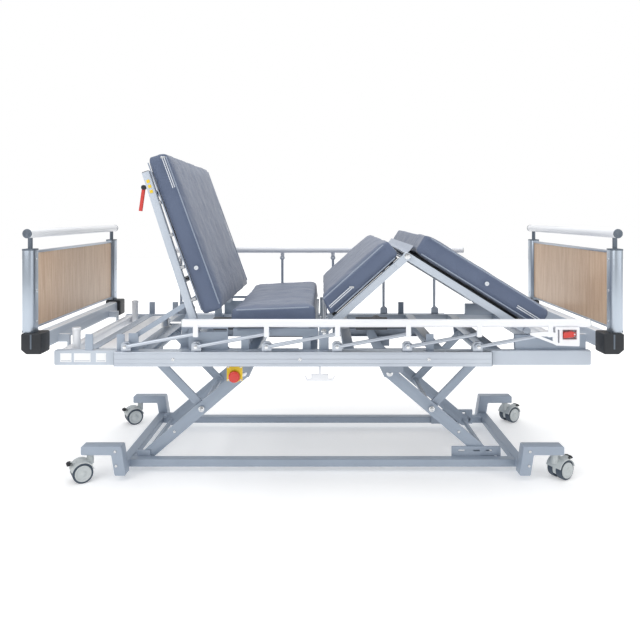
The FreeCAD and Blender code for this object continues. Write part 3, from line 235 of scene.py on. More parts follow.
def anodised(name, colour, other, along=(1, 30, 30)):
    """Satin anodised aluminium: fine extrusion lines along the profile, 0.5 mm apart."""
    made, tree, shader = start(name, colour, 0.34, 0.85)
    place = mottle(tree, shader, colour, other, 3.0)
    rough_patches(tree, shader, place, 20.0, 0.28, 0.42)
    stretch = add(tree, "ShaderNodeMapping", [("Scale", along)], [("Vector", place)])
    lines = add(tree, "ShaderNodeTexNoise", [("Scale", 60.0), ("Detail", 2.0)],
                [("Vector", stretch.outputs["Vector"])])
    grain(tree, shader, lines.outputs["Fac"], 0.15, 0.0004)
    return made


def moulded(name, colour, other, rough=0.45, spark=900.0, depth=0.0004, **more):
    """Injection moulded plastic with a spark-eroded grain about 1 mm wide."""
    made, tree, shader = start(name, colour, rough, **more)
    place = mottle(tree, shader, colour, other, 12.0)
    rough_patches(tree, shader, place, 30.0, rough - 0.05, rough + 0.07)
    specks = add(tree, "ShaderNodeTexNoise", [("Scale", spark), ("Detail", 1.0)], [("Vector", place)])
    grain(tree, shader, specks.outputs["Fac"], 0.2, depth)
    return made


def beech():
    """Beech laminate under clear melamine: straight fine grain up the panel with short dark ray flecks."""
    made, tree, shader = start("beech_laminate", "#D8B48C", 0.36, Coat_Weight=0.3, Coat_Roughness=0.22)
    place = add(tree, "ShaderNodeTexCoord").outputs["Object"]
    stretch = add(tree, "ShaderNodeMapping", [("Scale", (1.0, 14.0, 1.2))], [("Vector", place)])
    bands = add(tree, "ShaderNodeTexNoise", [("Scale", 6.0), ("Detail", 6.0), ("Distortion", 0.6)],
                [("Vector", stretch.outputs["Vector"])])
    ramp = add(tree, "ShaderNodeValToRGB", links=[("Fac", bands.outputs["Fac"])])
    ramp.color_ramp.elements[0].color = linear("#BD9878")
    ramp.color_ramp.elements[0].position = 0.3
    ramp.color_ramp.elements[1].color = linear("#D3B596")
    ramp.color_ramp.elements[1].position = 0.7
    fleck_map = add(tree, "ShaderNodeMapping", [("Scale", (40.0, 420.0, 60.0))], [("Vector", place)])
    flecks = add(tree, "ShaderNodeTexNoise", [("Scale", 1.0), ("Detail", 1.0)],
                 [("Vector", fleck_map.outputs["Vector"])])
    dark = add(tree, "ShaderNodeMapRange", [("From Min", 0.62), ("From Max", 0.7), ("To Max", 0.45)],
               [("Value", flecks.outputs["Fac"])])
    mix = add(tree, "ShaderNodeMix", [("data_type", "RGBA"), (7, linear("#A07F60"))],
              [("Factor", dark.outputs["Result"]), (6, ramp.outputs["Color"])])
    tree.links.new(mix.outputs[2], shader.inputs["Base Color"])
    grain(tree, shader, flecks.outputs["Fac"], 0.05, 0.0003)
    return made


def coated_nylon(name, colour, other):
    """PU-coated nylon ticking: 1.2 mm plain weave under a dull film, soft creases, a pale grazing sheen."""
    made, tree, shader = start(name, colour, 0.5, Sheen_Weight=0.20, Sheen_Roughness=0.45)
    place = mottle(tree, shader, colour, other, 7.0, 0.6, 5.0)
    rough_patches(tree, shader, place, 18.0, 0.40, 0.58)
    across = add(tree, "ShaderNodeTexWave", [("bands_direction", "Y"), ("Scale", 260.0)], [("Vector", place)])
    diagonal = add(tree, "ShaderNodeMapping", [("Rotation", (0, math.radians(45), 0))], [("Vector", place)])
    along = add(tree, "ShaderNodeTexWave", [("bands_direction", "X"), ("Scale", 260.0)],
                [("Vector", diagonal.outputs["Vector"])])
    weave = add(tree, "ShaderNodeMath", [("operation", "ADD")],
                [(0, across.outputs["Fac"]), (1, along.outputs["Fac"])])
    fold_map = add(tree, "ShaderNodeMapping", [("Scale", (9.0, 4.0, 9.0))], [("Vector", place)])
    folds = add(tree, "ShaderNodeTexNoise", [("Scale", 2.2), ("Detail", 6.0), ("Distortion", 1.2)],
                [("Vector", fold_map.outputs["Vector"])])
    fine = add(tree, "ShaderNodeBump", [("Strength", 0.12), ("Distance", 0.0004)],
               [("Height", weave.outputs["Value"])])
    creases = add(tree, "ShaderNodeBump", [("Strength", 0.45), ("Distance", 0.006)],
                  [("Height", folds.outputs["Fac"]), ("Normal", fine.outputs["Normal"])])
    tree.links.new(creases.outputs["Normal"], shader.inputs["Normal"])
    return made


def chrome():
    """Polished chrome plate: a mirror metal with faint handling marks."""
    made, tree, shader = start("polished_chrome_rod", "#D8DADC", 0.12, 1.0)
    rough_patches(tree, shader, add(tree, "ShaderNodeTexCoord").outputs["Object"], 60.0, 0.08, 0.18)
    return made


GREY = powder_coat("blue_grey_powder_coat", "#99A5B5", "#A3AFBE")
PALE = powder_coat("pale_grey_powder_coat", "#B7C0CC", "#C0C9D4")
WHITE = powder_coat("white_powder_coat", "#E9EBF0", "#F1F3F6", 0.3)
ALU = anodised("satin_anodised_aluminium", "#B6BDC8", "#C1C8D1")
POST_ALU = anodised("satin_anodised_post", "#AFB9C5", "#BAC4CF", (30, 30, 1))
BLACK = moulded("black_nylon", "#1C1F24", "#24282E", 0.5)
MOTOR = moulded("dark_grey_housing", "#4A4E55", "#555A61", 0.5)
BEIGE = moulded("stone_grey_housing", "#8B8F94", "#979B9F", 0.5)
CASTER = moulded("light_grey_nylon", "#BFC5C6", "#C9CFD0", 0.4)
TYRE = moulded("dark_polyurethane_tyre", "#3E4A57", "#485463", 0.55)
RED = moulded("red_gloss_plastic", "#C62A22", "#D0332A", 0.25, 300.0, 0.0002, Coat_Weight=0.4)
YELLOW = moulded("yellow_plastic", "#E8C52A", "#EDCD3A", 0.35)
STEEL = anodised("zinc_plated_steel", "#B9BCC0", "#C6C9CC", (8, 8, 8))
CHROME = chrome()
BEECH = beech()
FABRIC = coated_nylon("slate_coated_nylon", "#546079", "#5E6B84")
PIPING = coated_nylon("piping_coated_nylon", "#8691A3", "#929DAE")
GUSSET = coated_nylon("pale_knit_gusset", "#9AA4B4", "#A8B1C0")
ZIP = moulded("pale_zip_tape", "#C9CED6", "#D5D9DF", 0.7, 1500.0)
VENT = moulded("white_vent_eyelet", "#CDD2D8", "#D8DCE1", 0.35)
LABEL = moulded("white_film_label", "#EEF0F2", "#F5F6F7", 0.35)
SLEEVE = moulded("dark_post_sleeve", "#5A6470", "#646E7A", 0.4)
SHADE = powder_coat("shaded_grey_powder_coat", "#8E98A6", "#97A1AF", 0.45)


# ---------------------------------------------------------------- CAD nodes that keep their shape

def finish_of(node):
    """The finish that most of a node shows."""
    if node == "board_panels":
        return BEECH
    if node.startswith("caster_wheel"):
        return TYRE
    if node.startswith("caster_fork"):
        return CASTER
    if node == "bumpers" or node.startswith("caster_brake"):
        return BLACK
    if node in ("stop_button", "cpr_lever") or node.startswith("rail_release"):
        return RED
    if node == "side_fittings":
        return STEEL
    if node.endswith("_rod"):
        return CHROME
    if node == "actuators":
        return MOTOR
    if node == "board_frames":
        return POST_ALU
    if node == "rail_bases" or node.startswith("rail_upright"):
        return ALU
    if node.startswith("rail_top_bar") or node == "pole_sockets":
        return WHITE
    if node in ("backrest_frame", "thigh_frame", "calf_frame", "frame_tubes"):
        return PALE
    return GREY


for label, item in NODES.items():
    item.data.materials.clear()
    item.data.materials.append(finish_of(label))


def finished(node, body, finishes, choose, edge=0.0008, segments=2):
    """A node made again with softened edges and more than one finish; choose picks a finish by place."""
    clear()
    piece = bpy.data.objects.new(node + "_finished", NODES[node].data.copy())
    bpy.context.scene.collection.objects.link(piece)
    take(piece)
    bpy.ops.object.mode_set(mode="EDIT")
    bpy.ops.mesh.select_all(action="SELECT")
    bpy.ops.mesh.remove_doubles(threshold=0.00002)
    bpy.ops.mesh.dissolve_limited(angle_limit=math.radians(0.5))
    bpy.ops.object.mode_set(mode="OBJECT")
    if edge:
        modify(piece, "BEVEL", width=edge, segments=segments, limit_method="ANGLE",
               angle_limit=math.radians(45))
    piece.data.materials.clear()
    for finish in finishes:
        piece.data.materials.append(finish)
    for face in piece.data.polygons:
        face.material_index = choose(face.center, face.normal)
    smooth(piece, 32)
    piece.data.name = piece.name
    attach(piece, body)
    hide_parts(node)
    return piece


# ---------------------------------------------------------------- camera, floor, light

def studio():
    """Camera in front of the near side, a white floor that brightens with distance, soft lamps all round."""
    lens = bpy.data.cameras.new("camera")
    camera = bpy.data.objects.new("camera", lens)
    bpy.context.scene.collection.objects.link(camera)
    camera.location = (0, -2.85, 1.025)
    camera.rotation_euler = (math.radians(90), 0, 0)
    lens.lens = 36.28
    lens.sensor_width = 36
    lens.shift_x = -0.004
    lens.shift_y = -0.164
    bpy.context.scene.camera = camera
    clear()
    bpy.ops.mesh.primitive_plane_add(size=24)
    floor = settle(bpy.context.object, "floor")
    paper, tree, shader = start("white_studio_floor", "#F2F2F2", 0.9, Emission_Color=(1, 1, 1, 1))
    place = mottle(tree, shader, "#F0F0F0", "#F4F4F4", 1.5)
    reach = add(tree, "ShaderNodeVectorMath", [("operation", "LENGTH")], [(0, place)])
    glow = add(tree, "ShaderNodeMapRange",
               [("From Min", 1.0), ("From Max", 4.5), ("To Min", 0.30), ("To Max", 0.70)],
               [("Value", reach.outputs["Value"])])
    tree.links.new(glow.outputs["Result"], shader.inputs["Emission Strength"])
    floor.data.materials.append(paper)
    lamps = {"key": ((-2.6, -3.2, 3.4), 3.0, 62, (48, 0, -38)),
             "fill": ((3.2, -2.6, 2.2), 3.0, 28, (62, 0, 50)),
             "top": ((0, 0.3, 4.2), 4.5, 100, (0, 0, 0)),
             "back": ((0, 4.2, 2.6), 4.0, 30, (-60, 0, 0))}
    for name, (spot, size, power, tilt) in lamps.items():
        data = bpy.data.lights.new(name, "AREA")
        data.energy = power
        data.size = size
        lamp = bpy.data.objects.new(name, data)
        lamp.location = spot
        lamp.rotation_euler = Euler([math.radians(a) for a in tilt])
        bpy.context.scene.collection.objects.link(lamp)
    world = bpy.data.worlds.new("studio")
    world.use_nodes = True
    tree = world.node_tree
    tree.nodes["Background"].inputs["Color"].default_value = (1, 1, 1, 1)
    tree.nodes["Background"].inputs["Strength"].default_value = 0.50
    backdrop = add(tree, "ShaderNodeBackground", [("Color", (1, 1, 1, 1)), ("Strength", 1.0)])
    seen = add(tree, "ShaderNodeLightPath").outputs["Is Camera Ray"]
    mixed = add(tree, "ShaderNodeMixShader", links=[(0, seen), (1, tree.nodes["Background"].outputs[0]),
                                                    (2, backdrop.outputs[0])])
    tree.links.new(mixed.outputs[0], tree.nodes["World Output"].inputs["Surface"])
    bpy.context.scene.world = world
    bpy.context.scene.view_settings.view_transform = "Standard"


studio()


# ---------------------------------------------------------------- mattress

def puff(piece, cap):
    """Blows the cover up a little on its foam with cloth, no point further than the cap."""
    before = [v.co.copy() for v in piece.data.vertices]
    take(piece)
    cloth = piece.modifiers.new("cloth", "CLOTH")
    cloth.settings.use_pressure = True
    cloth.settings.uniform_pressure_force = 4.0
    cloth.settings.quality = 4
    cloth.settings.effector_weights.gravity = 0
    for tick in range(1, 21):
        bpy.context.scene.frame_set(tick)
    bpy.ops.object.modifier_apply(modifier=cloth.name)
    for vertex, old in zip(piece.data.vertices, before):
        move = vertex.co - old
        if move.length > cap:
            vertex.co = old + move.normalized() * cap
    bpy.context.scene.frame_set(1)
    return piece


def mattress(name, node, body, cell=0.010, cap=0.009):
    """A foam pad in its coated cover, from its CAD solid: cell is the remesh size, cap the most it swells."""
    clear()
    mesh = NODES[node].data.copy()
    piece = bpy.data.objects.new(name, mesh)
    bpy.context.scene.collection.objects.link(piece)
    take(piece)
    bpy.ops.object.mode_set(mode="EDIT")
    bpy.ops.mesh.select_all(action="SELECT")
    bpy.ops.mesh.remove_doubles(threshold=0.0001)
    bpy.ops.object.mode_set(mode="OBJECT")
    modify(piece, "DISPLACE", strength=-0.006, mid_level=0)
    modify(piece, "REMESH", mode="VOXEL", voxel_size=cell)
    puff(piece, cap)
    creases = bpy.data.textures.new(name + "_creases", "CLOUDS")
    creases.noise_scale = 0.09
    creases.noise_depth = 2
    modify(piece, "DISPLACE", texture=creases, texture_coords="LOCAL", strength=0.007, mid_level=0.5)
    fine = bpy.data.textures.new(name + "_ripples", "CLOUDS")
    fine.noise_scale = 0.028
    fine.noise_depth = 1
    modify(piece, "DISPLACE", texture=fine, texture_coords="LOCAL", strength=0.0018, mid_level=0.5)
    modify(piece, "SMOOTH", factor=0.5, iterations=2)
    modify(piece, "SUBSURF", levels=1, render_levels=1)
    piece.name = name
    piece.data.name = name
    smooth(piece, 60)
    dress(piece, FABRIC, body)
    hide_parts(node)
    return piece


LEANS = {"back_pad": 110.0, "seat_pad": 2.2, "thigh_pad": 42.0, "calf_pad": -31.8}
COVER_BODY = {"back_pad": "backrest", "seat_pad": "upper_frame", "thigh_pad": "thigh", "calf_pad": "calf"}
HALF_WIDE = 0.442
PIPING_IN = 0.034           # how far the piping stops short of a pad's ends
GUSSET_WIDE = 0.80


def pad_frame(node):
    """A pad's own axes in the X-Z plane, and its reach along each, read from its CAD solid."""
    angle = math.radians(LEANS[node])
    along = Vector((math.cos(angle), 0, math.sin(angle)))
    across = Vector((-math.sin(angle), 0, math.cos(angle)))
    spots = [v.co for v in NODES[node].data.vertices]
    ends = [(min(s.dot(way) for s in spots), max(s.dot(way) for s in spots)) for way in (along, across)]
    return along, across, ends


def at(node, run, depth, y):
    """A place on a pad: run metres along it from its first end, depth as a share of its thickness."""
    along, across, ends = pad_frame(node)
    spot = along * (ends[0][0] + run) + across * (ends[1][0] + (ends[1][1] - ends[1][0]) * depth)
    return Vector((spot.x, y, spot.z))


def tape(name, node, points, wide):
    """A zip chain or piping laid along points on a pad's side, as a round bead."""
    clear()
    curve = bpy.data.curves.new(name, "CURVE")
    curve.dimensions = "3D"
    line = curve.splines.new("POLY")
    line.points.add(len(points) - 1)
    for spot, point in zip(line.points, points):
        spot.co = (*point, 1)
    curve.bevel_depth = wide / 2
    curve.bevel_resolution = 2
    piece = bpy.data.objects.new(name, curve)
    bpy.context.scene.collection.objects.link(piece)
    take(piece)
    bpy.ops.object.convert(target="MESH")
    smooth(bpy.context.object, 60)
    return dress(bpy.context.object, ZIP, COVER_BODY[node])


def zip_lines(node, start_run, end_run, depth, side):
    """A short zip: two close rows of pale chain on the side of a pad, with its slider at one end."""
    word = "near" if side < 0 else "far"
    for row, shift in enumerate((0.0, 0.09)):
        points = [at(node, start_run + (end_run - start_run) * n / 12, depth + shift,
                     side * (HALF_WIDE + 0.0008)) for n in range(13)]
        tape(f"{node}_zip_{row}_{word}", node, points, 0.004)
    pull = at(node, end_run, depth + 0.045, side * (HALF_WIDE + 0.002))
    half = Vector((0.009, 0.0015, 0.004))
    tag = block(f"{node}_zip_pull_{word}", pull - half, pull + half)
    dress(tag, STEEL, COVER_BODY[node])


def piping(node):
    """Sewn piping along the top and bottom of both side panels of a pad."""
    first, last = pad_frame(node)[2][0]
    length = last - first - 2 * PIPING_IN
    for side, word in ((-1, "near"), (1, "far")):
        for depth, label in ((0.93, "upper"), (0.07, "lower")):
            points = [at(node, PIPING_IN + length * n / 20, depth, side * (HALF_WIDE - 0.0005))
                      for n in range(21)]
            cord = tape(f"{node}_piping_{label}_{word}", node, points, 0.0048)
            cord.data.materials.clear()
            cord.data.materials.append(PIPING)


def vents(node, run, depth):
    """The round air vent in each side of a pad."""
    for side, word in ((-1, "near"), (1, "far")):
        spot = at(node, run, depth, side * (HALF_WIDE + 0.001))
        eyelet = disc(f"{node}_vent_{word}", "y", spot, 0.008, 0.006, 0.0015)
        press(eyelet, "y", side, 0.003, -0.002)
        dress(eyelet, VENT, COVER_BODY[node])


def knee_gusset():
    """The lighter cloth that joins the thigh and calf pads, folded down into the gap at the knee."""
    profile = [(0.2880, 0.8965), (0.3030, 0.8850), (0.3180, 0.8800), (0.3310, 0.8880), (0.3480, 0.9100)]
    clear()
    bpy.ops.mesh.primitive_grid_add(x_subdivisions=16, y_subdivisions=40, size=1)
    piece = settle(bpy.context.object, "knee_gusset")
    steps = len(profile) - 1
    for vertex in piece.data.vertices:
        share = min(max(vertex.co.x + 0.5, 0.0), 1.0) * steps
        index = min(int(share), steps - 1)
        (x0, z0), (x1, z1) = profile[index], profile[index + 1]
        part = share - index
        vertex.co = Vector((x0 + (x1 - x0) * part, vertex.co.y * GUSSET_WIDE, z0 + (z1 - z0) * part))
    modify(piece, "SMOOTH", factor=0.5, iterations=4)
    modify(piece, "SOLIDIFY", thickness=0.0012, offset=0)
    piece.data.materials.append(GUSSET)
    smooth(piece, 60)
    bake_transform(piece)


def mattress_set():
    """The four pads with their piping, zips and vents, and the cloth at the knee."""
    for node, body in COVER_BODY.items():
        mattress(node + "_cover", node, body)
        piping(node)
    for side in (-1, 1):
        zip_lines("back_pad", 0.50, 0.62, 0.16, side)
        zip_lines("seat_pad", 0.02, 0.08, 0.30, side)
        zip_lines("thigh_pad", 0.03, 0.14, 0.38, side)
        zip_lines("calf_pad", 0.44, 0.55, 0.30, side)
    vents("back_pad", 0.19, 0.5)
    vents("calf_pad", 0.30, 0.5)
    knee_gusset()


mattress_set()


# ---------------------------------------------------------------- parts with several finishes

GRAB_LOW = 0.9385           # where the grab tube begins
POST_HIGH = 0.8955          # where the posts end and their stubs begin
BEAM_HIGH = 0.586           # the top of the cross beam
PAD_SIDE = 0.3866           # boards lie inboard of this, the section tubes outboard


def board_finish(spot, way):
    """White grab tube, dark stubs, anodised posts, and a grey beam whose top faces are a painted highlight in
    white.
    """
    if spot.z > GRAB_LOW:
        return 1
    if spot.z > POST_HIGH:
        return 2
    if spot.z < BEAM_HIGH:
        # the beam's faces that look up get the white coat: a painted highlight where the top light falls
        return 1 if way.z > 0.7 else 3
    return 0


def plain(spot, way):
    """The first finish all over."""
    return 0


def section_finish(hinge, angle, sign):
    """Pale tubes, a black board and a steel skin, told apart by how far they stand off the hinge line."""
    slope = math.radians(angle)
    across = Vector((-math.sin(slope), 0, math.cos(slope))) * sign

    def choose(spot, way):
        off = (spot - hinge).dot(across)
        if abs(spot.y) < PAD_SIDE and off > 0.0113:
            return 1
        return 2 if off > 0.0142 else 0
    return choose


def part_finishes():
    """Every node that has soft edges or more than one finish."""
    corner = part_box("cpr_lever")[1]
    hub = Vector((corner[0] - 0.009, -0.42, corner[2] - 0.009))
    finished("board_frames", "upper_frame", [POST_ALU, WHITE, SLEEVE, PALE],
             board_finish)
    finished("bumpers", "upper_frame", [BLACK], plain, 0.006, 4)
    finished("frame_tubes", "upper_frame", [PALE, WHITE],
             lambda spot, way: 1 if abs(spot.x) > 0.957 and abs(spot.y) < 0.4195 else 0)
    finished("frame_cross_members", "upper_frame", [GREY, WHITE, SHADE],
             lambda spot, way: 1 if spot.x < -0.7205 and 0.505 < spot.z < 0.5195 else
             (2 if spot.z < 0.4895 else 0), 0.0006)
    finished("side_fittings", "upper_frame", [WHITE, YELLOW],
             lambda spot, way: 1 if -0.36 < spot.x < -0.29 else 0, 0.0006)
    finished("actuators", "upper_frame", [MOTOR, BEIGE, SHADE],
             lambda spot, way: 1 if -0.302 < spot.x < -0.058 and spot.y < -0.04 and spot.z > 0.52 else
             (2 if spot.y > -0.043 and spot.z < 0.5 else 0), 0.0015)
    finished("cpr_lever", "cpr_lever", [RED, BLACK],
             lambda spot, way: 1 if (spot - hub).length < 0.0125 else 0, 0.002, 3)
    for body, hinge, angle, sign in (("backrest", (-0.473, 0, 0.595), 108.0, -1),
                                     ("thigh", (0.005, 0, 0.590), 42.0, 1),
                                     ("calf", (0.3171, 0, 0.8710), -31.8, 1)):
        finished(body + "_frame", body, [PALE, BLACK, STEEL],
                 section_finish(Vector(hinge), angle, sign))
    for node, body in (("base_frame", "chassis"), ("caster_brackets", "chassis"),
                       ("lift_arm_head", "lift_arm_head"), ("lift_arm_foot", "lift_arm_foot"),
                       ("lift_strut_head", "lift_strut_head"), ("lift_strut_foot", "lift_strut_foot"),
                       ("deck_brackets", "upper_frame")):
        finished(node, body, [finish_of(node)], plain)


part_finishes()


# ---------------------------------------------------------------- head and foot boards

POST_Y = 0.46               # middle of a board's post, from the bed's middle


def board_trims():
    """Trims and seals round the panels, rings on the posts, grab tube ends, screws and bumper notches."""
    low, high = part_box("board_panels")
    middle = high[0] - 0.009
    for end, way in (("head", -1), ("foot", 1)):
        x = way * middle
        for label, z in (("lower", low[2] - 0.003), ("upper", high[2] + 0.002)):
            trim = block(f"panel_trim_{label}_{end}", (x - 0.012, low[1] + 0.002, z - 0.0035),
                         (x + 0.012, high[1] - 0.002, z + 0.0045), 0.002)
            dress(trim, ALU, "upper_frame")
        for side, word in ((-1, "near"), (1, "far")):
            y = side * high[1]
            seal = block(f"panel_seal_{word}_{end}", (x - 0.0105, min(y, y - side * 0.006), low[2] + 0.002),
                         (x + 0.0105, max(y, y - side * 0.006), high[2] - 0.002), 0.0012)
            dress(seal, SLEEVE, "upper_frame")
            for part, bottom, top, edge in (("cap", 0.8945, 0.9005, 0.0025), ("foot", 0.5935, 0.600, 0.0015)):
                ring = block(f"post_{part}_{word}_{end}", (x - 0.0245, side * POST_Y - 0.031, bottom),
                             (x + 0.0245, side * POST_Y + 0.031, top), edge)
                rounded(ring, 0.019)
                dress(ring, SLEEVE, "upper_frame")
            plug = disc(f"grab_cap_{word}_{end}", "y", (way * 1.078, side * 0.4968, 0.957), 0.0172, 0.006,
                        0.002, 48)
            press(plug, "y", side, 0.004, -0.0012)
            dress(plug, SLEEVE, "upper_frame")
            for spot_z in (0.63, 0.745, 0.86):
                screw(f"post_screw_{word}_{end}_{round(spot_z * 1000)}", "x",
                      (x - way * 0.0235, side * POST_Y, spot_z), -way, 0.0045, "upper_frame")
            notch = block(f"bumper_notch_{word}_{end}", (way * 1.0635 - 0.003, side * 0.4995 - 0.0015, 0.535),
                          (way * 1.0635 + 0.003, side * 0.4995 + 0.0015, 0.589), 0.001)
            dress(notch, SLEEVE, "upper_frame")


def rounded(piece, radius):
    """Rounds the four standing edges of a block."""
    low = Vector([min(v.co[i] for v in piece.data.vertices) for i in range(3)])
    high = Vector([max(v.co[i] for v in piece.data.vertices) for i in range(3)])
    middle = (low + high) / 2
    half = (high - low) / 2
    for vertex in piece.data.vertices:
        away = vertex.co - middle
        over = Vector((abs(away.x) - (half.x - radius), abs(away.y) - (half.y - radius)))
        if over.x > 0 and over.y > 0:
            scale = min(1.0, radius / over.length)
            vertex.co.x = middle.x + math.copysign(half.x - radius + over.x * scale, away.x)
            vertex.co.y = middle.y + math.copysign(half.y - radius + over.y * scale, away.y)
    return piece


def screw(name, axis, spot, way, radius, body):
    """A button-head screw with a hexagon socket pressed into its face."""
    head = disc(name, axis, spot, radius, radius * 0.9, radius * 0.3, 24, 3)
    press(head, axis, way, radius * 0.35, -radius * 0.35)
    return dress(head, CHROME, body)


def hex_bolt(name, spot, side, radius, body):
    """A hexagon bolt head on a washer, its axis across the bed."""
    washer = disc(name + "_washer", "y", spot, radius * 1.35, 0.0025, 0.0006, 32)
    head = disc(name, "y", (spot[0], spot[1] + side * radius * 0.5, spot[2]), radius, radius * 0.8, 0.0008, 6)
    press(head, "y", side, radius * 0.3, 0.0006)
    return dress(join(name, [head, washer]), CHROME, body)


# ---------------------------------------------------------------- base, casters and lift

ARM_RISE = math.radians(40.4)
LINK = 0.305
ELBOW = 1.73 * LINK         # from the arm's foot to its upper bolt
ARM_FOOT_UP = 0.0446


def bolts():
    """Bolt heads and screws on the arms and struts of the lift."""
    for end, pivot, way in (("head", -0.721, 1), ("foot", 0.673, -1)):
        arm = f"lift_arm_{end}"
        middle = (pivot + way * LINK * math.cos(ARM_RISE), ARM_FOOT_UP + LINK * math.sin(ARM_RISE))
        tip = (pivot + way * ELBOW * math.cos(ARM_RISE), ARM_FOOT_UP + ELBOW * math.sin(ARM_RISE))
        for side, word in ((-1, "near"), (1, "far")):
            hex_bolt(f"middle_bolt_{end}_{word}", (middle[0], side * 0.2483, middle[1]), side, 0.009, arm)
            hex_bolt(f"elbow_bolt_{end}_{word}", (tip[0], side * 0.2463, tip[1]), side, 0.010, arm)
            for step in (0.16, 0.30):
                spot = (pivot + way * step * math.cos(ARM_RISE), side * 0.2405,
                        ARM_FOOT_UP + step * math.sin(ARM_RISE))
                screw(f"arm_screw_{end}_{word}_{round(step * 100)}", "y", spot, side, 0.006, arm)
            hex_bolt(f"strut_bolt_{end}_{word}", (pivot + way * 0.0204, side * 0.2635, 0.4617), side, 0.009,
                     "upper_frame")


def base_details():
    """Caps in the ends of the base rails and screws in the caster brackets."""
    for side, word in ((-1, "near"), (1, "far")):
        for end, way in (("head", -1), ("foot", 1)):
            x = way * 0.7655
            cap = block(f"base_rail_cap_{word}_{end}", (x - 0.0025, side * 0.27 - 0.0185, 0.0265),
                        (x + 0.0025, side * 0.27 + 0.0185, 0.0535), 0.001)
            dress(cap, SLEEVE, "chassis")
            for step in (0, 1):
                spot = (way * (0.798 - 0.004 * step), side * 0.3705, 0.115 - 0.055 * step)
                screw(f"bracket_screw_{word}_{end}_{step}", "y", spot, side, 0.0055, "chassis")


WHEEL_TRAIL = 0.032         # from the stem to the wheel's axle
WHEEL_UP = 0.038


def caster_details():
    """Wheel covers and treads, stem rings and pedal grips, turned with each caster."""
    for end, sx, yaw in (("head", -1, 210), ("foot", 1, 30)):
        for word, sy in (("near", -1), ("far", 1)):
            stem = Vector((sx * 0.902, sy * 0.345, 0))
            wheel = f"caster_wheel_{end}_{word}"
            for side, half in ((-1, "a"), (1, "b")):
                cover = disc(f"wheel_cover_{word}_{end}_{half}", "y",
                             stem + Vector((WHEEL_TRAIL, side * 0.0338, WHEEL_UP)), 0.0305, 0.004, 0.0015, 56)
                press(cover, "y", side, 0.0045, -0.0012)
                press(cover, "y", side, 0.0135, 0.0014)
                turned(cover, stem, yaw, "Z")
                dress(cover, CASTER, wheel)
                band = disc(f"wheel_band_{word}_{end}_{half}", "y",
                            stem + Vector((WHEEL_TRAIL, side * 0.020, WHEEL_UP)), 0.0381, 0.0205, 0.0035,
                            72, 4)
                turned(band, stem, yaw, "Z")
                dress(band, TYRE, wheel)
            ring = disc(f"stem_ring_{word}_{end}", "z", stem + Vector((0, 0, 0.0985)), 0.0165, 0.0035, 0.001,
                        40)
            press(ring, "z", 1, 0.003, -0.0008)
            turned(ring, stem, yaw, "Z")
            dress(ring, STEEL, f"caster_fork_{end}_{word}")
            tread = block(f"pedal_grip_{word}_{end}", stem + Vector((0.073, -0.0125, 0.0775)),
                          stem + Vector((0.0845, 0.0125, 0.0795)), 0.0008)
            turned(tread, stem + Vector((0.078, 0, 0.0785)), -12)
            turned(tread, stem, yaw, "Z")
            dress(tread, BLACK, f"caster_brake_pedal_{end}_{word}")


# ---------------------------------------------------------------- upper frame and rails

RAIL_FIRST_X = -0.728       # pivot of the first upright
RAIL_PITCH = 0.2605
RAIL_PIVOT_UP = 0.539
UPRIGHT = 0.266             # pivot to pivot
RAIL_LEAN = {-1: 10.3, 1: 90}       # the near rail is folded, the far one stands


def rail_details():
    """Beads and caps on the extrusions, their screws, every pivot head, and the plugs of the top bars."""
    low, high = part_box("rail_bases")
    x_low, x_high = low[0], high[0]
    for side, word in ((-1, "near"), (1, "far")):
        face = side * 0.4742
        for row, z in enumerate((0.4755, 0.4925, 0.5115)):
            bead = block(f"rail_bead_{word}_{row}", (x_low + 0.001, face - 0.0009, z - 0.0022),
                         (x_high - 0.001, face + 0.0009, z + 0.0022), 0.0007, 2)
            dress(bead, ALU, "upper_frame")
        for end, x, out in (("head", x_low, 0.0005), ("foot", x_high, 0.003)):
            cap = block(f"rail_end_cap_{word}_{end}", (x - 0.0015, side * 0.462 - 0.0115, 0.4675),
                        (x + out, side * 0.462 + 0.0115, 0.5195), 0.0012)
            dress(cap, SLEEVE, "upper_frame")
        for index, x in enumerate((-0.551, -0.083, 0.392)):
            screw(f"rail_screw_{word}_{index}", "y", (x, face, 0.4925), side, 0.0065, "upper_frame")
        lean = math.radians(RAIL_LEAN[side])
        top = Vector((RAIL_FIRST_X + UPRIGHT * math.cos(lean), side * 0.472,
                      RAIL_PIVOT_UP + UPRIGHT * math.sin(lean)))
        for number in range(6):
            foot = (RAIL_FIRST_X + RAIL_PITCH * number, side * 0.4815, RAIL_PIVOT_UP)
            rivet = disc(f"rail_pivot_head_{word}_{number + 1}", "y", foot, 0.0068, 0.003, 0.0012, 32, 3)
            dress(rivet, CHROME, "upper_frame")
            spot = top + Vector((RAIL_PITCH * number, side * 0.0095, 0))
            rivet = disc(f"bar_pivot_head_{word}_{number + 1}", "y", spot, 0.0062, 0.003, 0.0012, 32, 3)
            dress(rivet, CHROME, f"rail_top_bar_{word}")
        for end, x in (("head", -0.05), ("foot", 1.45)):
            plug = disc(f"top_bar_plug_{word}_{end}", "x", top + Vector((x, 0, 0.04)), 0.0152, 0.006, 0.0028,
                        48, 4)
            press(plug, "x", -1 if end == "head" else 1, 0.005, 0.001)
            dress(plug, CASTER, f"rail_top_bar_{word}")


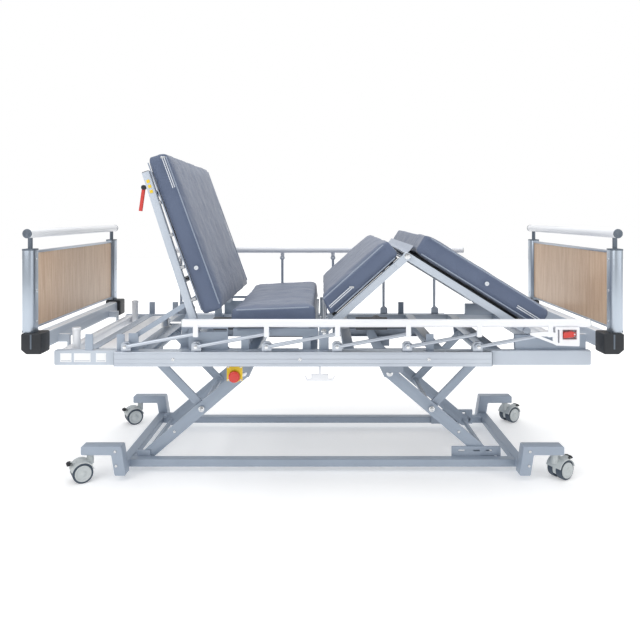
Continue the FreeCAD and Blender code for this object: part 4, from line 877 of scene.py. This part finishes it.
def frame_details():
    """Blank plates with a painted shade line, tube caps, pole collars, the ring and screws of the stop plate,
    and the control box.
    """
    for index, (x, wide) in enumerate(((-0.955, 0.042), (-0.894, 0.062), (-0.824, 0.038))):
        label = block(f"blank_plate_{index}", (x - wide / 2, -0.4508, 0.478), (x + wide / 2, -0.4498, 0.511),
                      0.0004, 2)
        dress(label, LABEL, "upper_frame")
        # a thin line of painted shade, in the shaded grey coat, across each plate
        edge = block(f"blank_plate_painted_shade_{index}", (x - wide / 2 + 0.003, -0.4511, 0.4815),
                     (x + wide / 2 - 0.003, -0.4505, 0.4835), 0.0002, 1)
        dress(edge, SHADE, "upper_frame")
    for side, word in ((-1, "near"), (1, "far")):
        for end, way in (("head", -1), ("foot", 1)):
            x = way * 0.9985
            cap = block(f"side_tube_cap_{word}_{end}", (x - 0.002, side * 0.435 - 0.0135, 0.4685),
                        (x + 0.002, side * 0.435 + 0.0135, 0.5185), 0.0012)
            dress(cap, WHITE, "upper_frame")
        collar = disc(f"pole_collar_{word}", "z", (-0.94, side * 0.385, 0.590), 0.0168, 0.010, 0.0015, 48)
        hollow(collar, 0.0104)
        dress(collar, WHITE, "upper_frame")
    ring = disc("stop_ring", "y", (-0.327, -0.4552, 0.4265), 0.0245, 0.0024, 0.0008, 56)
    press(ring, "y", -1, 0.002, -0.0006)
    dress(ring, YELLOW, "upper_frame")
    for x in (-0.35, -0.304):
        for z in (0.4125, 0.460):
            screw(f"stop_screw_{round(-x * 1000)}_{round(z * 1000)}", "y", (x, -0.4545, z), -1, 0.0035,
                  "upper_frame")
    lid = block("control_lid", (-0.292, -0.187, 0.5695), (-0.068, -0.053, 0.5735), 0.002)
    press(lid, "z", 1, 0.012, -0.0012)
    dress(lid, BEIGE, "upper_frame")
    for index, x in enumerate((-0.27, -0.235, -0.20, -0.165)):
        socket = disc(f"control_socket_{index}", "y", (x, -0.1958, 0.546), 0.0085, 0.004, 0.0008, 32)
        press(socket, "y", -1, 0.0025, -0.0018)
        dress(socket, MOTOR, "upper_frame")


def hollow(piece, radius):
    """Bores a round hole down through a ring."""
    clear()
    low = min(v.co.z for v in piece.data.vertices)
    high = max(v.co.z for v in piece.data.vertices)
    middle = sum((v.co for v in piece.data.vertices), Vector()) / len(piece.data.vertices)
    bpy.ops.mesh.primitive_cylinder_add(vertices=48, radius=radius, depth=(high - low) * 3,
                                        location=(middle.x, middle.y, (low + high) / 2))
    drill = bpy.context.object
    modify(piece, "BOOLEAN", object=drill, operation="DIFFERENCE", solver="EXACT")
    bpy.data.objects.remove(drill)
    return smooth(piece)


def section_details():
    """Yellow marks, tube end caps and pivot heads on the tubes of the lying surface."""
    foot = Vector((-0.473, 0, 0.595))
    way = Vector((math.cos(math.radians(108)), 0, math.sin(math.radians(108))))
    half = Vector((0.006, 0.0006, 0.006))
    for index, run in enumerate((0.545, 0.565, 0.585)):
        spot = foot + way * run + Vector((0, -0.4339, 0))
        mark = block(f"back_mark_{index}", spot - half, spot + half, 0.0005, 2)
        turned(mark, spot, 108)
        dress(mark, YELLOW, "backrest")
    thigh = Vector((0.005, 0, 0.590))
    knee = thigh + Vector((math.cos(math.radians(42)), 0, math.sin(math.radians(42)))) * 0.420
    for side, word in ((-1, "near"), (1, "far")):
        hex_bolt(f"back_pivot_bolt_{word}", (foot.x, side * 0.4425, foot.z), side, 0.0085, "backrest")
        hex_bolt(f"knee_bolt_{word}", (knee.x, side * 0.4405, knee.z), side, 0.0085, "thigh")
        hex_bolt(f"thigh_bolt_{word}", (thigh.x, side * 0.4425, thigh.z), side, 0.008, "upper_frame")
        cap_spot = foot + way * 0.6225 + Vector((0, side * 0.42, 0))
        cap = block(f"back_tube_cap_{word}", cap_spot - Vector((0.003, 0.0125, 0.0125)),
                    cap_spot + Vector((0.002, 0.0125, 0.0125)), 0.0012)
        turned(cap, cap_spot, 108)
        dress(cap, BLACK, "backrest")


board_trims()
bolts()
base_details()
caster_details()
rail_details()
frame_details()
section_details()
